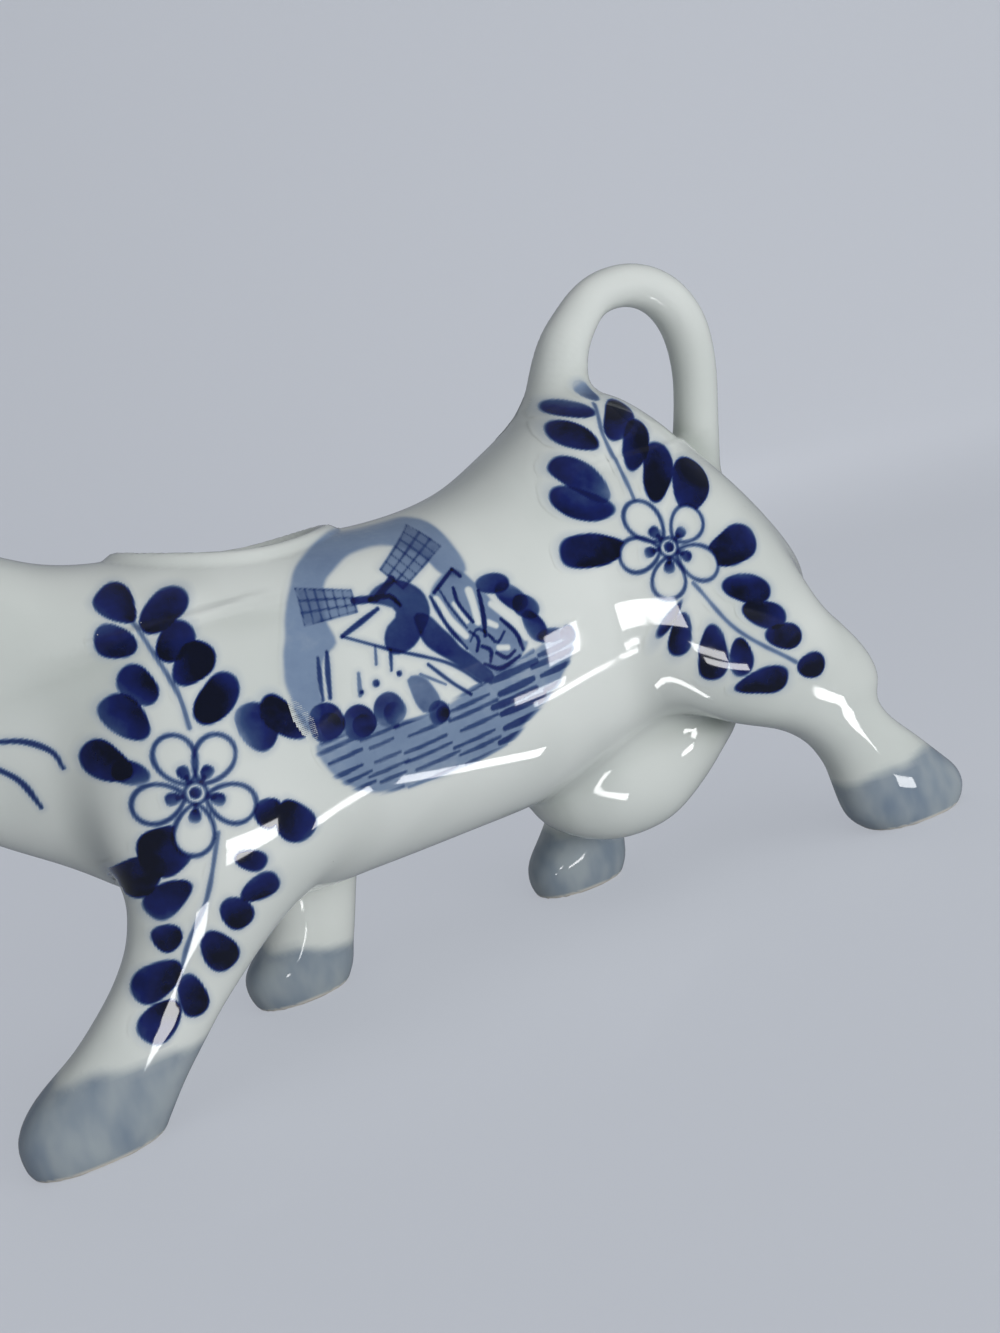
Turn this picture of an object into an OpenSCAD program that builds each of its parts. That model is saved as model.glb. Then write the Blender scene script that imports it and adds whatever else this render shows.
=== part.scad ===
/* [Body] */
// Length of the hollow body, from the neck joint to the rump
body_len = 141; // [120:1:165]
// Height of the rump above the table, at the root of the tail
rump_h = 88; // [78:1:98]
// Width of the barrel at its widest
barrel_w = 49; // [44:0.5:56]
// Thickness of the cast wall
wall = 3; // [2:0.25:4]

/* [Filler] */
// Length of the oval filler opening in the back
filler_len = 29; // [22:0.5:34]
// Width of the oval filler opening
filler_w = 20; // [16:0.5:24]
// Thickness of the rolled lip round the opening
lip_d = 3; // [2:0.25:4]

/* [Head] */
// Length of the head, from the neck joint to the nose
head_len = 29.5; // [25:0.5:34]
// Width of the head at the eyes
head_w = 27; // [23:0.5:30]
// Width of the open mouth that pours
mouth_w = 12; // [9:0.5:13]
// Height of the open mouth
mouth_h = 6.5; // [5:0.25:8]
// Size of each eye
eye_d = 5; // [4:0.25:6]
// Length of each horn along its curve
horn_len = 17; // [13:0.5:20]
// Thickness of a horn at its root
horn_d = 6.4; // [5:0.2:7.5]
// Length of each ear
ear_len = 17; // [13:0.5:20]
// Width of an ear at its widest
ear_w = 9; // [7:0.5:11]
// Thickness of an ear
ear_t = 3.6; // [3:0.2:5]

/* [Legs] */
// Length of a hoof along the animal
hoof_len = 24; // [20:0.5:27]
// Width of a hoof across the animal
hoof_w = 13.6; // [11:0.2:15]
// Height of the grey hoof
hoof_h = 10; // [8:0.25:12]
// Distance between the middles of the left and right hooves
track = 30; // [27:0.5:33]

/* [Tail] */
// Length that the tail's loop spans along the back
tail_span = 26; // [23:0.5:29]
// Height of the tail's loop above the rump
tail_rise = 13.5; // [12:0.5:17]
// Thickness of the tail at the middle of its loop
tail_d = 7; // [6:0.25:8]

/* [Udder] */
// Length of the udder
udder_len = 44; // [38:1:48]
// Width of the udder
udder_w = 22; // [18:0.5:26]
// How far the udder hangs below the middle of the barrel
udder_h = 37; // [34:0.5:40]

/* [Hidden] */

glaze = "#e9eae4";
hoof_grey = "#8295a8";

// The roundness of every section: 2 is an ellipse, and more is squarer.
section_power = 2.3;
overrun = 1;
body_sides = 36;
limb_sides = 22;
tube_sides = 12;

// Rows of the body, as shares: along body_len, top and bottom of rump_h, and half width of half barrel_w.
body_shares = [
  [0.000, 1.000, 0.489, 0.531],
  [0.057, 0.972, 0.420, 0.633],
  [0.113, 0.926, 0.341, 0.776],
  [0.170, 0.903, 0.290, 0.898],
  [0.255, 0.892, 0.250, 0.971],
  [0.362, 0.864, 0.249, 1.000],
  [0.468, 0.847, 0.252, 0.980],
  [0.567, 0.864, 0.256, 0.918],
  [0.652, 0.926, 0.276, 0.857],
  [0.723, 0.985, 0.307, 0.837],
  [0.794, 0.957, 0.335, 0.816],
  [0.865, 0.835, 0.364, 0.735],
  [0.922, 0.724, 0.398, 0.605],
  [0.965, 0.625, 0.435, 0.430],
  [0.990, 0.560, 0.468, 0.235],
  [1.000, 0.522, 0.496, 0.090]];

// Rows of the head: along head_len from the joint, top and bottom of rump_h, and half width of half head_w.
head_shares = [
  [0.00, 1.000, 0.489, 0.964],
  [0.14, 0.992, 0.528, 1.000],
  [0.31, 0.952, 0.574, 0.978],
  [0.48, 0.892, 0.601, 0.880],
  [0.65, 0.847, 0.614, 0.800],
  [0.79, 0.826, 0.620, 0.815],
  [0.90, 0.804, 0.631, 0.770],
  [0.97, 0.770, 0.655, 0.600],
  [1.00, 0.727, 0.690, 0.250]];

// Rows of a leg, as shares: height of rump_h, middle of body_len from the neck joint, length along the
// animal of hoof_len, and inner and outer side of hoof_w from the middle of the hoof.
left_fore_shares = [
  [0.000, -0.0040, 0.776, 0.44, 0.44],
  [0.023, -0.0015, 0.875, 0.49, 0.49],
  [0.068, 0.0110, 0.999, 0.50, 0.50],
  [0.114, 0.0370, 1.022, 0.47, 0.47],
  [0.159, 0.0730, 0.928, 0.44, 0.45],
  [0.205, 0.1070, 0.928, 0.44, 0.45],
  [0.250, 0.1380, 0.975, 0.46, 0.50],
  [0.307, 0.1740, 1.128, 0.49, 0.60],
  [0.386, 0.2035, 1.322, 0.52, 0.73],
  [0.489, 0.2130, 1.457, 0.60, 0.78],
  [0.591, 0.2165, 1.392, 0.66, 0.72],
  [0.682, 0.2170, 1.116, 0.72, 0.54],
  [0.750, 0.2170, 0.764, 0.72, 0.28],
  [0.795, 0.2170, 0.317, 0.60, 0.05]];
right_fore_shares = [
  [0.000, 0.2680, 0.658, 0.44, 0.44],
  [0.030, 0.2705, 0.770, 0.49, 0.49],
  [0.068, 0.2755, 0.793, 0.50, 0.50],
  [0.114, 0.2943, 0.692, 0.47, 0.47],
  [0.170, 0.3100, 0.643, 0.44, 0.45],
  [0.250, 0.3205, 0.735, 0.46, 0.50],
  [0.341, 0.3210, 1.022, 0.49, 0.64],
  [0.455, 0.3190, 1.246, 0.58, 0.76],
  [0.568, 0.3120, 1.246, 0.66, 0.73],
  [0.670, 0.3045, 1.028, 0.72, 0.54],
  [0.740, 0.3000, 0.705, 0.72, 0.28],
  [0.785, 0.2960, 0.305, 0.60, 0.05]];
left_hind_shares = [
  [0.000, 1.0248, 0.742, 0.44, 0.44],
  [0.030, 1.0213, 0.933, 0.49, 0.49],
  [0.068, 1.0150, 0.958, 0.50, 0.50],
  [0.114, 1.0010, 0.848, 0.47, 0.47],
  [0.159, 0.9860, 0.740, 0.43, 0.43],
  [0.216, 0.9600, 0.668, 0.43, 0.42],
  [0.261, 0.9355, 0.800, 0.46, 0.45],
  [0.307, 0.9085, 1.215, 0.50, 0.52],
  [0.375, 0.8695, 1.500, 0.60, 0.61],
  [0.466, 0.8330, 1.455, 0.72, 0.65],
  [0.568, 0.8090, 1.370, 0.86, 0.61],
  [0.682, 0.7890, 1.110, 0.96, 0.48],
  [0.780, 0.7770, 0.700, 0.98, 0.24],
  [0.850, 0.7725, 0.323, 0.90, -0.10]];
right_hind_shares = [
  [0.000, 0.6510, 0.680, 0.44, 0.44],
  [0.030, 0.6540, 0.777, 0.49, 0.49],
  [0.068, 0.6585, 0.771, 0.50, 0.50],
  [0.114, 0.6740, 0.672, 0.47, 0.47],
  [0.159, 0.6930, 0.664, 0.44, 0.43],
  [0.205, 0.7195, 0.852, 0.46, 0.43],
  [0.261, 0.7490, 1.150, 0.50, 0.47],
  [0.330, 0.7745, 1.420, 0.56, 0.54],
  [0.420, 0.7910, 1.516, 0.68, 0.62],
  [0.545, 0.7960, 1.433, 0.84, 0.61],
  [0.670, 0.7880, 1.152, 0.96, 0.48],
  [0.775, 0.7740, 0.728, 0.98, 0.24],
  [0.850, 0.7725, 0.323, 0.90, -0.10]];

// Rows of the udder: along udder_len, its underside and top of udder_h below the middle of the barrel,
// and half width of half udder_w.
udder_shares = [
  [0.00, 0.62, 0.40, 0.20],
  [0.06, 0.80, 0.34, 0.56],
  [0.16, 0.91, 0.30, 0.80],
  [0.29, 0.98, 0.28, 0.96],
  [0.43, 1.00, 0.27, 1.00],
  [0.57, 0.975, 0.26, 0.96],
  [0.72, 0.88, 0.25, 0.84],
  [0.86, 0.76, 0.24, 0.66],
  [0.95, 0.68, 0.26, 0.44],
  [1.00, 0.58, 0.36, 0.16]];
udder_rings = 18;

// The tail's middle line: along tail_span from its root, up tail_rise from the rump, and tail_d's share.
tail_shares = [
  [-0.06, -0.45, 1.75],
  [0.00, -0.02, 1.48],
  [0.09, 0.38, 1.26],
  [0.22, 0.68, 1.08],
  [0.38, 0.92, 0.98],
  [0.58, 1.00, 1.00],
  [0.78, 0.91, 1.06],
  [0.93, 0.66, 1.12],
  [1.01, 0.28, 1.14],
  [1.01, -0.22, 1.10],
  [0.95, -0.75, 1.10],
  [0.87, -1.30, 1.20],
  [0.80, -1.75, 1.30]];
tail_root_share = 0.742;
tail_rings = 32;

// A horn's middle line: out, up and back as shares of horn_len, and thickness of horn_d.
horn_shares = [
  [-0.22, -0.20, 0.00, 1.00],
  [0.06, 0.00, 0.00, 0.96],
  [0.30, 0.17, -0.03, 0.80],
  [0.46, 0.40, -0.08, 0.58],
  [0.50, 0.62, -0.15, 0.36],
  [0.46, 0.76, -0.20, 0.12]];
horn_at_shares = [0.12, 0.50, 0.965];
horn_rings = 14;

// An ear's middle line: out, up and back of ear_len, then its width of ear_w and thickness of ear_t.
ear_shares = [
  [-0.25, 0.06, 0.00, 0.45, 0.95],
  [0.10, 0.00, 0.02, 0.70, 1.00],
  [0.40, 0.00, 0.08, 1.00, 0.95],
  [0.70, 0.05, 0.16, 0.80, 0.80],
  [0.90, 0.10, 0.22, 0.42, 0.60],
  [0.98, 0.13, 0.25, 0.10, 0.30]];
ear_at_shares = [0.22, 0.80, 0.875];
ear_broad_share = [0.35, 0, 1];
ear_rings = 12;

// Places along the body and head: the filler opening, the eyes, the mouth and the front of the udder.
filler_share = 0.305;
filler_top_share = 0.94;
lip_steps = 26;
lip_fn = 8;
eye_shares = [0.42, 0.80, 0.845];
mouth_z_share = 0.690;
mouth_depth_share = 0.42;
mouth_flare_share = 1.25;
udder_front_share = 0.565;
barrel_middle_share = 0.54;

// The neck joint's place, with the part's middle half way between the nose and the left hind heel.
heel_reach = left_hind_shares[1][1] * body_len + left_hind_shares[1][2] * hoof_len / 2;
neck_x = head_len - (head_len + heel_reach) / 2;

// Where a table of rows is read by a smooth curve through its stations.
function span_at(x, t, i = 0) = i >= len(t) - 2 || x <= t[i + 1][0] ? i : span_at(x, t, i + 1);
function slope(t, i, k) =
  let (a = max(i - 1, 0), b = min(i + 1, len(t) - 1)) (t[b][k] - t[a][k]) / (t[b][0] - t[a][0]);
function along(x, t, k) =
  let (i = span_at(x, t), d = t[i + 1][0] - t[i][0], u = (x - t[i][0]) / d)
  (2 * u ^ 3 - 3 * u ^ 2 + 1) * t[i][k] + (u ^ 3 - 2 * u ^ 2 + u) * d * slope(t, i, k)
  + (3 * u ^ 2 - 2 * u ^ 3) * t[i + 1][k] + (u ^ 3 - u ^ 2) * d * slope(t, i + 1, k);

function oval(a, half_across, half_up) = [
  half_across * sign(cos(a)) * abs(cos(a)) ^ (2 / section_power),
  half_up * sign(sin(a)) * abs(sin(a)) ^ (2 / section_power)];

// Steps from 0 to 1 that lie closer together at both ends, or only at the far end.
function eased(i, n) = (1 - cos(180 * i / n)) / 2;
function eased_out(i, n) = sin(90 * i / n);

// A closed skin through rings of equally many points.
module skin(rings) {
  n = len(rings[0]);
  last = (len(rings) - 1) * n;
  polyhedron(
    points = [for (r = rings) each r],
    faces = concat(
      [[for (j = [0:n - 1]) j]],
      [for (i = [0:len(rings) - 2]) for (j = [0:n - 1])
        let (k = (j + 1) % n, a = i * n, b = a + n) each [[a + k, a + j, b + j], [a + k, b + j, b + k]]],
      [[for (j = [n - 1:-1:0]) last + j]]));
}

// A section across the body or head at a share of its length, drawn in by inset.
function body_half_w(s) = along(s, body_shares, 3) * barrel_w / 2;
function body_top(s) = along(s, body_shares, 1) * rump_h;
function body_bottom(s) = along(s, body_shares, 2) * rump_h;
function section(x, top, bottom, half_w, inset, sides) =
  let (half_h = max((top - bottom) / 2 - inset, wall / 4), w = max(half_w - inset, wall / 4))
  [for (j = [0:sides - 1]) let (p = oval(360 * j / sides, w, half_h)) [x, p[0], (top + bottom) / 2 + p[1]]];
function body_section(s, inset = 0, sides = body_sides) =
  section(neck_x + s * body_len, body_top(s), body_bottom(s), body_half_w(s), inset, sides);
function head_section(s, inset = 0, sides = body_sides) =
  section(neck_x - s * head_len, along(s, head_shares, 1) * rump_h, along(s, head_shares, 2) * rump_h,
    s == 0 ? body_half_w(0) : along(s, head_shares, 3) * head_w / 2, inset, sides);

// Height of the outer back at a place along the body and across it.
function back_z(s, y) =
  let (c = (body_top(s) + body_bottom(s)) / 2, h = (body_top(s) - body_bottom(s)) / 2)
  c + h * (1 - abs(y / body_half_w(s)) ^ section_power) ^ (1 / section_power);

body_rings = 34;
cavity_rings = 15;
cavity_sides = 20;
cavity_end_share = 0.965;

module body_outside() {
  skin([for (i = [0:body_rings]) body_section(eased_out(i, body_rings))]);
}

module body_cavity() {
  skin(concat(
    [[for (p = body_section(0, wall, cavity_sides)) p - [overrun, 0, 0]]],
    [for (i = [0:cavity_rings])
      body_section(eased_out(i, cavity_rings) * cavity_end_share, wall, cavity_sides)]));
}

filler_x = neck_x + filler_share * body_len;
function filler_oval(i, grown) =
  let (a = 360 * i / lip_steps) [(filler_len + grown) / 2 * cos(a), (filler_w + grown) / 2 * sin(a)];
function lip_at(i) =
  let (p = filler_oval(i, lip_d))
  [filler_x + p[0], p[1], back_z(filler_share + p[0] / body_len, p[1]) - lip_d / 6];

module filler_lip() {
  for (i = [0:lip_steps - 1])
    hull() {
      translate(lip_at(i)) sphere(d = lip_d, $fn = lip_fn);
      translate(lip_at(i + 1)) sphere(d = lip_d, $fn = lip_fn);
    }
}

module filler_cut() {
  reach = rump_h / 3;
  translate([filler_x, 0, rump_h * filler_top_share - reach])
    linear_extrude(2 * reach) polygon([for (i = [0:lip_steps - 1]) filler_oval(i, 0)]);
}

module body_shell() {
  color(glaze)
    difference() {
      union() {
        body_outside();
        filler_lip();
      }
      body_cavity();
      filler_cut();
    }
}

head_rings = 18;
head_cavity_end_share = 0.86;

module head_outside() {
  skin([for (i = [head_rings:-1:0]) head_section(eased_out(i, head_rings))]);
}

module head_cavity() {
  skin(concat(
    [for (i = [cavity_rings:-1:0])
      head_section(eased_out(i, cavity_rings) * head_cavity_end_share, wall, cavity_sides)],
    [[for (p = head_section(0, wall, cavity_sides)) p + [overrun, 0, 0]]]));
}

// The open mouth: a flat oval way into the head that widens to its lip.
module mouth_cut() {
  depth = mouth_depth_share * head_len;
  x = neck_x - head_len - overrun;
  rows = 5;
  skin([for (i = [0:rows]) let (f = 1 + (mouth_flare_share - 1) * (1 - i / rows) ^ 2)
    [for (j = [0:limb_sides - 1]) let (p = oval(360 * j / limb_sides, mouth_w / 2 * f, mouth_h / 2 * f))
      [x + i * (depth + overrun) / rows, p[0], mouth_z_share * rump_h + p[1]]]]);
}

module eyes() {
  for (side = [-1, 1])
    translate([neck_x - eye_shares[0] * head_len, side * eye_shares[1] * head_w / 2, eye_shares[2] * rump_h])
      hull()
        for (dip = [-1, 1])
          translate([dip * eye_d / 4, 0, -dip * eye_d / 8]) sphere(d = eye_d * 3 / 4, $fn = tube_sides);
}

nostril_d = 2.6;
nostril_shares = [0.965, 0.36, 0.765];
function nostril_at(side) = [
  neck_x - nostril_shares[0] * head_len,
  side * nostril_shares[1] * head_w / 2,
  nostril_shares[2] * rump_h];
module nostrils() {
  for (side = [-1, 1])
    hull()
      for (out = [0, 1])
        translate(nostril_at(side) + out * nostril_d * [-1, side / 2, 1 / 4])
          sphere(d = nostril_d, $fn = tube_sides);
}

// The lips are beads along the upper and lower edge of the mouth.
lip_bead_d = 2.6;
lip_bead_steps = 8;
lip_bead_share = 0.93;
function mouth_edge(i, up) =
  let (a = 15 + 150 * i / lip_bead_steps, f = mouth_flare_share * 1.12)
  [neck_x - head_len * (lip_bead_share + (1 - lip_bead_share) * sin(a) / 2),
    mouth_w / 2 * f * cos(a), mouth_z_share * rump_h + up * (mouth_h / 2 * f * sin(a) + lip_bead_d / 8)];

module lips() {
  for (up = [-1, 1])
    for (i = [0:lip_bead_steps - 1])
      hull() {
        translate(mouth_edge(i, up)) sphere(d = lip_bead_d, $fn = lip_fn);
        translate(mouth_edge(i + 1, up)) sphere(d = lip_bead_d, $fn = lip_fn);
      }
}

module head_shell() {
  color(glaze)
    difference() {
      union() {
        head_outside();
        eyes();
        lips();
      }
      head_cavity();
      mouth_cut();
      nostrils();
    }
}

// A tube along a line of points, with a frame that stays in step with the given side direction.
function unit(v) = v / norm(v);
function tube_ring(p, dir, side, half_across, half_up, sides = tube_sides) =
  let (t = unit(dir), a = unit(side - (side * t) * t), b = cross(t, a))
  [for (j = [0:sides - 1]) let (q = 360 * j / sides) p + half_across * cos(q) * a + half_up * sin(q) * b];

// A table of rows [.., ..] read at a share u of its count, by the same smooth curve.
function counted(t) = [for (i = [0:len(t) - 1]) concat([i / (len(t) - 1)], t[i])];

tail_root = [neck_x + tail_root_share * body_len, 0, rump_h];
function tail_point(u) =
  let (t = counted(tail_shares)) tail_root + [along(u, t, 1) * tail_span, 0, along(u, t, 2) * tail_rise];
function tail_ring(u) =
  let (e = 1 / tail_rings / 4, r = along(u, counted(tail_shares), 3) * tail_d / 2)
  tube_ring(tail_point(u), tail_point(min(u + e, 1)) - tail_point(max(u - e, 0)), [0, 1, 0], r, r);

module tail_handle() {
  color(glaze)
    difference() {
      skin([for (i = [0:tail_rings]) tail_ring(i / tail_rings)]);
      body_outside();
    }
}

function horn_point(u, side) =
  let (t = counted(horn_shares))
  [neck_x - horn_at_shares[0] * head_len - along(u, t, 3) * horn_len,
    side * (horn_at_shares[1] * head_w / 2 + along(u, t, 1) * horn_len),
    horn_at_shares[2] * rump_h + along(u, t, 2) * horn_len];

function horn_ring(u, side) =
  let (e = 1 / horn_rings / 4, r = along(u, counted(horn_shares), 4) * horn_d / 2)
  tube_ring(horn_point(u, side), horn_point(min(u + e, 1), side) - horn_point(max(u - e, 0), side),
    [1, 0, 0], r, r);

module horn(side) {
  color(glaze)
    difference() {
      skin([for (i = [0:horn_rings]) horn_ring(i / horn_rings, side)]);
      head_outside();
      body_outside();
    }
}

function ear_point(u, side) =
  let (t = counted(ear_shares))
  [neck_x - ear_at_shares[0] * head_len + along(u, t, 3) * ear_len,
    side * (ear_at_shares[1] * head_w / 2 + along(u, t, 1) * ear_len),
    ear_at_shares[2] * rump_h + along(u, t, 2) * ear_len];

function ear_ring(u, side) =
  let (e = 1 / ear_rings / 4, t = counted(ear_shares))
  tube_ring(ear_point(u, side), ear_point(min(u + e, 1), side) - ear_point(max(u - e, 0), side),
    ear_broad_share, along(u, t, 4) * ear_w / 2, along(u, t, 5) * ear_t / 2);

module ear(side) {
  color(glaze)
    difference() {
      skin([for (i = [0:ear_rings]) ear_ring(i / ear_rings, side)]);
      head_outside();
      body_outside();
      horn(side);
    }
}

// A leg is a skin of level sections from the table up into the body's side.
leg_rings = 18;
hoof_rings = 6;
function leg_section(z_share, t, side) =
  let (
    middle_x = neck_x + along(z_share, t, 1) * body_len, half_len = along(z_share, t, 2) * hoof_len / 2,
    inner = along(z_share, t, 3) * hoof_w, outer = along(z_share, t, 4) * hoof_w,
    middle_y = side * (track + outer - inner) / 2)
  [for (j = [0:limb_sides - 1])
    let (p = oval(360 * j / limb_sides, half_len, (inner + outer) / 2))
    [middle_x + p[0], middle_y + p[1], z_share * rump_h]];

module leg_part(t, side, low, high, rings) {
  skin([for (i = [0:rings])
    let (u = low == 0 ? i / rings : eased_out(i, rings)) leg_section(low + (high - low) * u, t, side)]);
}

hoof_share = hoof_h / rump_h;
module whole_leg(t, side) {
  leg_part(t, side, hoof_share, t[len(t) - 1][0], leg_rings);
}

module leg(t, side) {
  color(glaze)
    difference() {
      whole_leg(t, side);
      body_outside();
    }
}

module hoof(t, side) {
  color(hoof_grey) leg_part(t, side, 0, hoof_share, hoof_rings);
}

module udder() {
  color(glaze)
    difference() {
      skin([for (i = [0:udder_rings]) let (u = eased(i, udder_rings))
        section(neck_x + udder_front_share * body_len + u * udder_len,
          barrel_middle_share * rump_h - along(u, udder_shares, 2) * udder_h,
          barrel_middle_share * rump_h - along(u, udder_shares, 1) * udder_h,
          along(u, udder_shares, 3) * udder_w / 2, 0, limb_sides)]);
      body_outside();
      whole_leg(left_hind_shares, -1);
      whole_leg(right_hind_shares, 1);
    }
}

body_shell();
head_shell();
horn(-1);  // left_horn
horn(1);  // right_horn
ear(-1);  // left_ear
ear(1);  // right_ear
tail_handle();
udder();
leg(left_fore_shares, -1);  // left_fore_leg
leg(right_fore_shares, 1);  // right_fore_leg
leg(left_hind_shares, -1);  // left_hind_leg
leg(right_hind_shares, 1);  // right_hind_leg
hoof(left_fore_shares, -1);  // left_fore_hoof
hoof(right_fore_shares, 1);  // right_fore_hoof
hoof(left_hind_shares, -1);  // left_hind_hoof
hoof(right_hind_shares, 1);  // right_hind_hoof
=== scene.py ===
import math

import bpy
import numpy as np
from mathutils import Matrix, Vector
from mathutils.bvhtree import BVHTree


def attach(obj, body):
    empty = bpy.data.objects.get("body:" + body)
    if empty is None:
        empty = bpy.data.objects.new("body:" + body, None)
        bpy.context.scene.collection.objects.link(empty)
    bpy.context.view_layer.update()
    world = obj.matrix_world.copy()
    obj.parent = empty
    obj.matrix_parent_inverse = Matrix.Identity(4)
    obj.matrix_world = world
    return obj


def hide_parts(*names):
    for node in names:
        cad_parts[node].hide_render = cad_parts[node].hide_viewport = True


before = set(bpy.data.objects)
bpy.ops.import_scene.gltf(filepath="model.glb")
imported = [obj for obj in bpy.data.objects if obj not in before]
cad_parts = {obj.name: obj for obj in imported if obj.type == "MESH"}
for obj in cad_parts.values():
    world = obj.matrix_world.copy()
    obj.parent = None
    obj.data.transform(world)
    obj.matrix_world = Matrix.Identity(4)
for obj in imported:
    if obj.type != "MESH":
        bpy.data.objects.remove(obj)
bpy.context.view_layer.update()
print("frame loaded")

mm = 0.001  # everything below is written in millimetres and turned to metres at the mesh
sides = (("left", -1), ("right", 1))


# camera: the photograph's place beside the left flank, tilted to the left

cameraView = {
    "eye": (-61.33, -214.88, 83.14),
    "aim": (18.89, -0.44, 45.69),
    "roll": -14.73,
    "lens": 37.69,
    "sensor": 36.0,
}


def makeCamera():
    eye = Vector(cameraView["eye"])
    back = (eye - Vector(cameraView["aim"])).normalized()
    right = Vector((0, 0, 1)).cross(back).normalized()
    up = back.cross(right)
    turn = math.radians(cameraView["roll"])
    axisX = right * math.cos(turn) + up * math.sin(turn)
    axisY = up * math.cos(turn) - right * math.sin(turn)
    data = bpy.data.cameras.new("photoCamera")
    data.sensor_fit = "VERTICAL"
    data.sensor_height = cameraView["sensor"]
    data.lens = cameraView["lens"]
    data.clip_start = 0.01
    camera = bpy.data.objects.new("photoCamera", data)
    camera.matrix_world = Matrix((
        (axisX.x, axisY.x, back.x, eye.x * mm),
        (axisX.y, axisY.y, back.y, eye.y * mm),
        (axisX.z, axisY.z, back.z, eye.z * mm),
        (0, 0, 0, 1)))
    bpy.context.scene.collection.objects.link(camera)
    bpy.context.scene.camera = camera


makeCamera()
bpy.context.scene.view_settings.view_transform = "Standard"
print("camera placed")


# the form: one field over all the luted pieces, below zero inside the clay

form = {
    "bodyLength": 141.0,
    "rumpHeight": 88.0,
    "barrelWidth": 49.0,
    "headLength": 29.5,
    "headWidth": 27.0,
    "heelReach": 155.2,  # from the neck joint to the left hind heel
    "wall": 3.0,
    "wallEdge": 0.8,
    "roundness": 2.3,
    "rowStep": 0.1,
    "rowBlur": 1.6,
    "far": 9.0,
}
neckX = form["headLength"] - (form["headLength"] + form["heelReach"]) / 2

bodyRows = np.array([  # along the body, top, underside, half width: shares as in the part
    (0.000, 1.000, 0.489, 0.531), (0.057, 0.972, 0.420, 0.633), (0.113, 0.926, 0.341, 0.776),
    (0.170, 0.903, 0.290, 0.898), (0.255, 0.892, 0.250, 0.971), (0.362, 0.864, 0.249, 1.000),
    (0.468, 0.847, 0.252, 0.980), (0.567, 0.864, 0.256, 0.918), (0.652, 0.926, 0.276, 0.857),
    (0.723, 0.985, 0.307, 0.837), (0.794, 0.957, 0.335, 0.816), (0.865, 0.835, 0.364, 0.735),
    (0.922, 0.724, 0.398, 0.605), (0.965, 0.625, 0.435, 0.430), (0.990, 0.560, 0.468, 0.235),
    (1.000, 0.522, 0.496, 0.090), (1.006, 0.512, 0.505, 0.020)])
headRows = np.array([
    (0.14, 0.992, 0.528, 1.000), (0.31, 0.952, 0.574, 0.978), (0.48, 0.892, 0.601, 0.880),
    (0.65, 0.847, 0.614, 0.800), (0.79, 0.826, 0.620, 0.815), (0.90, 0.804, 0.631, 0.770),
    (0.97, 0.770, 0.655, 0.600), (1.00, 0.727, 0.690, 0.250), (1.008, 0.712, 0.705, 0.020)])


def fairRows(rows, step, blur):
    # samples a table of rows by smooth curves, then eases out what kinks are left
    at = np.arange(rows[0, 0], rows[-1, 0], step)
    span = np.clip(np.searchsorted(rows[:, 0], at, side="right") - 1, 0, len(rows) - 2)
    low = np.maximum(np.arange(len(rows)) - 1, 0)
    high = np.minimum(np.arange(len(rows)) + 1, len(rows) - 1)
    slope = (rows[high, 1:] - rows[low, 1:]) / (rows[high, 0] - rows[low, 0])[:, None]
    width = (rows[span + 1, 0] - rows[span, 0])[:, None]
    u = (at[:, None] - rows[span, 0][:, None]) / width
    out = ((2 * u**3 - 3 * u**2 + 1) * rows[span, 1:] + (u**3 - 2 * u**2 + u) * width * slope[span]
           + (3 * u**2 - 2 * u**3) * rows[span + 1, 1:] + (u**3 - u**2) * width * slope[span + 1])
    reach = max(1, int(3 * blur / step))
    kernel = np.exp(-0.5 * (np.arange(-reach, reach + 1) * step / blur) ** 2)
    kernel /= kernel.sum()
    padded = np.concatenate([np.repeat(out[:1], reach, 0), out, np.repeat(out[-1:], reach, 0)])
    eased = np.stack([np.convolve(padded[:, i], kernel, "valid") for i in range(out.shape[1])], 1)
    # the two ends keep their drawn shape
    edge = np.clip(np.minimum(at - at[0], at[-1] - at) / (3 * blur), 0, 1)[:, None]
    return at, eased * edge + out * (1 - edge)


def inMillimetres(rows, length, width):
    return np.stack([neckX + rows[:, 0] * length, rows[:, 1] * form["rumpHeight"],
                     rows[:, 2] * form["rumpHeight"], rows[:, 3] * width / 2], 1)


trunkTable = fairRows(np.concatenate([
    inMillimetres(headRows[::-1], -form["headLength"], form["headWidth"]),
    inMillimetres(bodyRows, form["bodyLength"], form["barrelWidth"])]), form["rowStep"], form["rowBlur"])


def readRows(table, x):
    at, out = table
    return [np.interp(x, at, out[:, n]) for n in range(out.shape[1])]


def ovalDistance(u, v, halfU, halfV, power):
    # how far a point lies outside a superellipse, and how fast that grows
    a = np.abs(u) / halfU
    b = np.abs(v) / halfV
    q = (a**power + b**power) ** (1 / power)
    q = np.maximum(q, 1e-6)
    gu = (a / q) ** (power - 1) / halfU
    gv = (b / q) ** (power - 1) / halfV
    return q, gu, gv


def loftField(along, u, v, at, sample):
    # distance to a loft whose sections stand across one axis; sample gives centre and half sizes
    reach = 0.4
    q = []
    for shift in (-reach, 0.0, reach):
        cu, hu, cv, hv = sample(np.clip(along + shift, at[0], at[-1]))
        q.append(ovalDistance(u - cu, v - cv, np.maximum(hu, 0.05), np.maximum(hv, 0.05), form["roundness"]))
    centre, gu, gv = q[1]
    flat = gu**2 + gv**2
    steep = ((q[2][0] - q[0][0]) / (2 * reach)) ** 2
    # the steepness is held down, or a blunt end would seem near from afar
    distance = (centre - 1) / np.sqrt(flat + np.minimum(steep, 5 * flat))
    beyond = np.maximum(at[0] - along, along - at[-1])
    return np.where(beyond > 0, np.hypot(np.maximum(distance, 0), beyond), distance)


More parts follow.
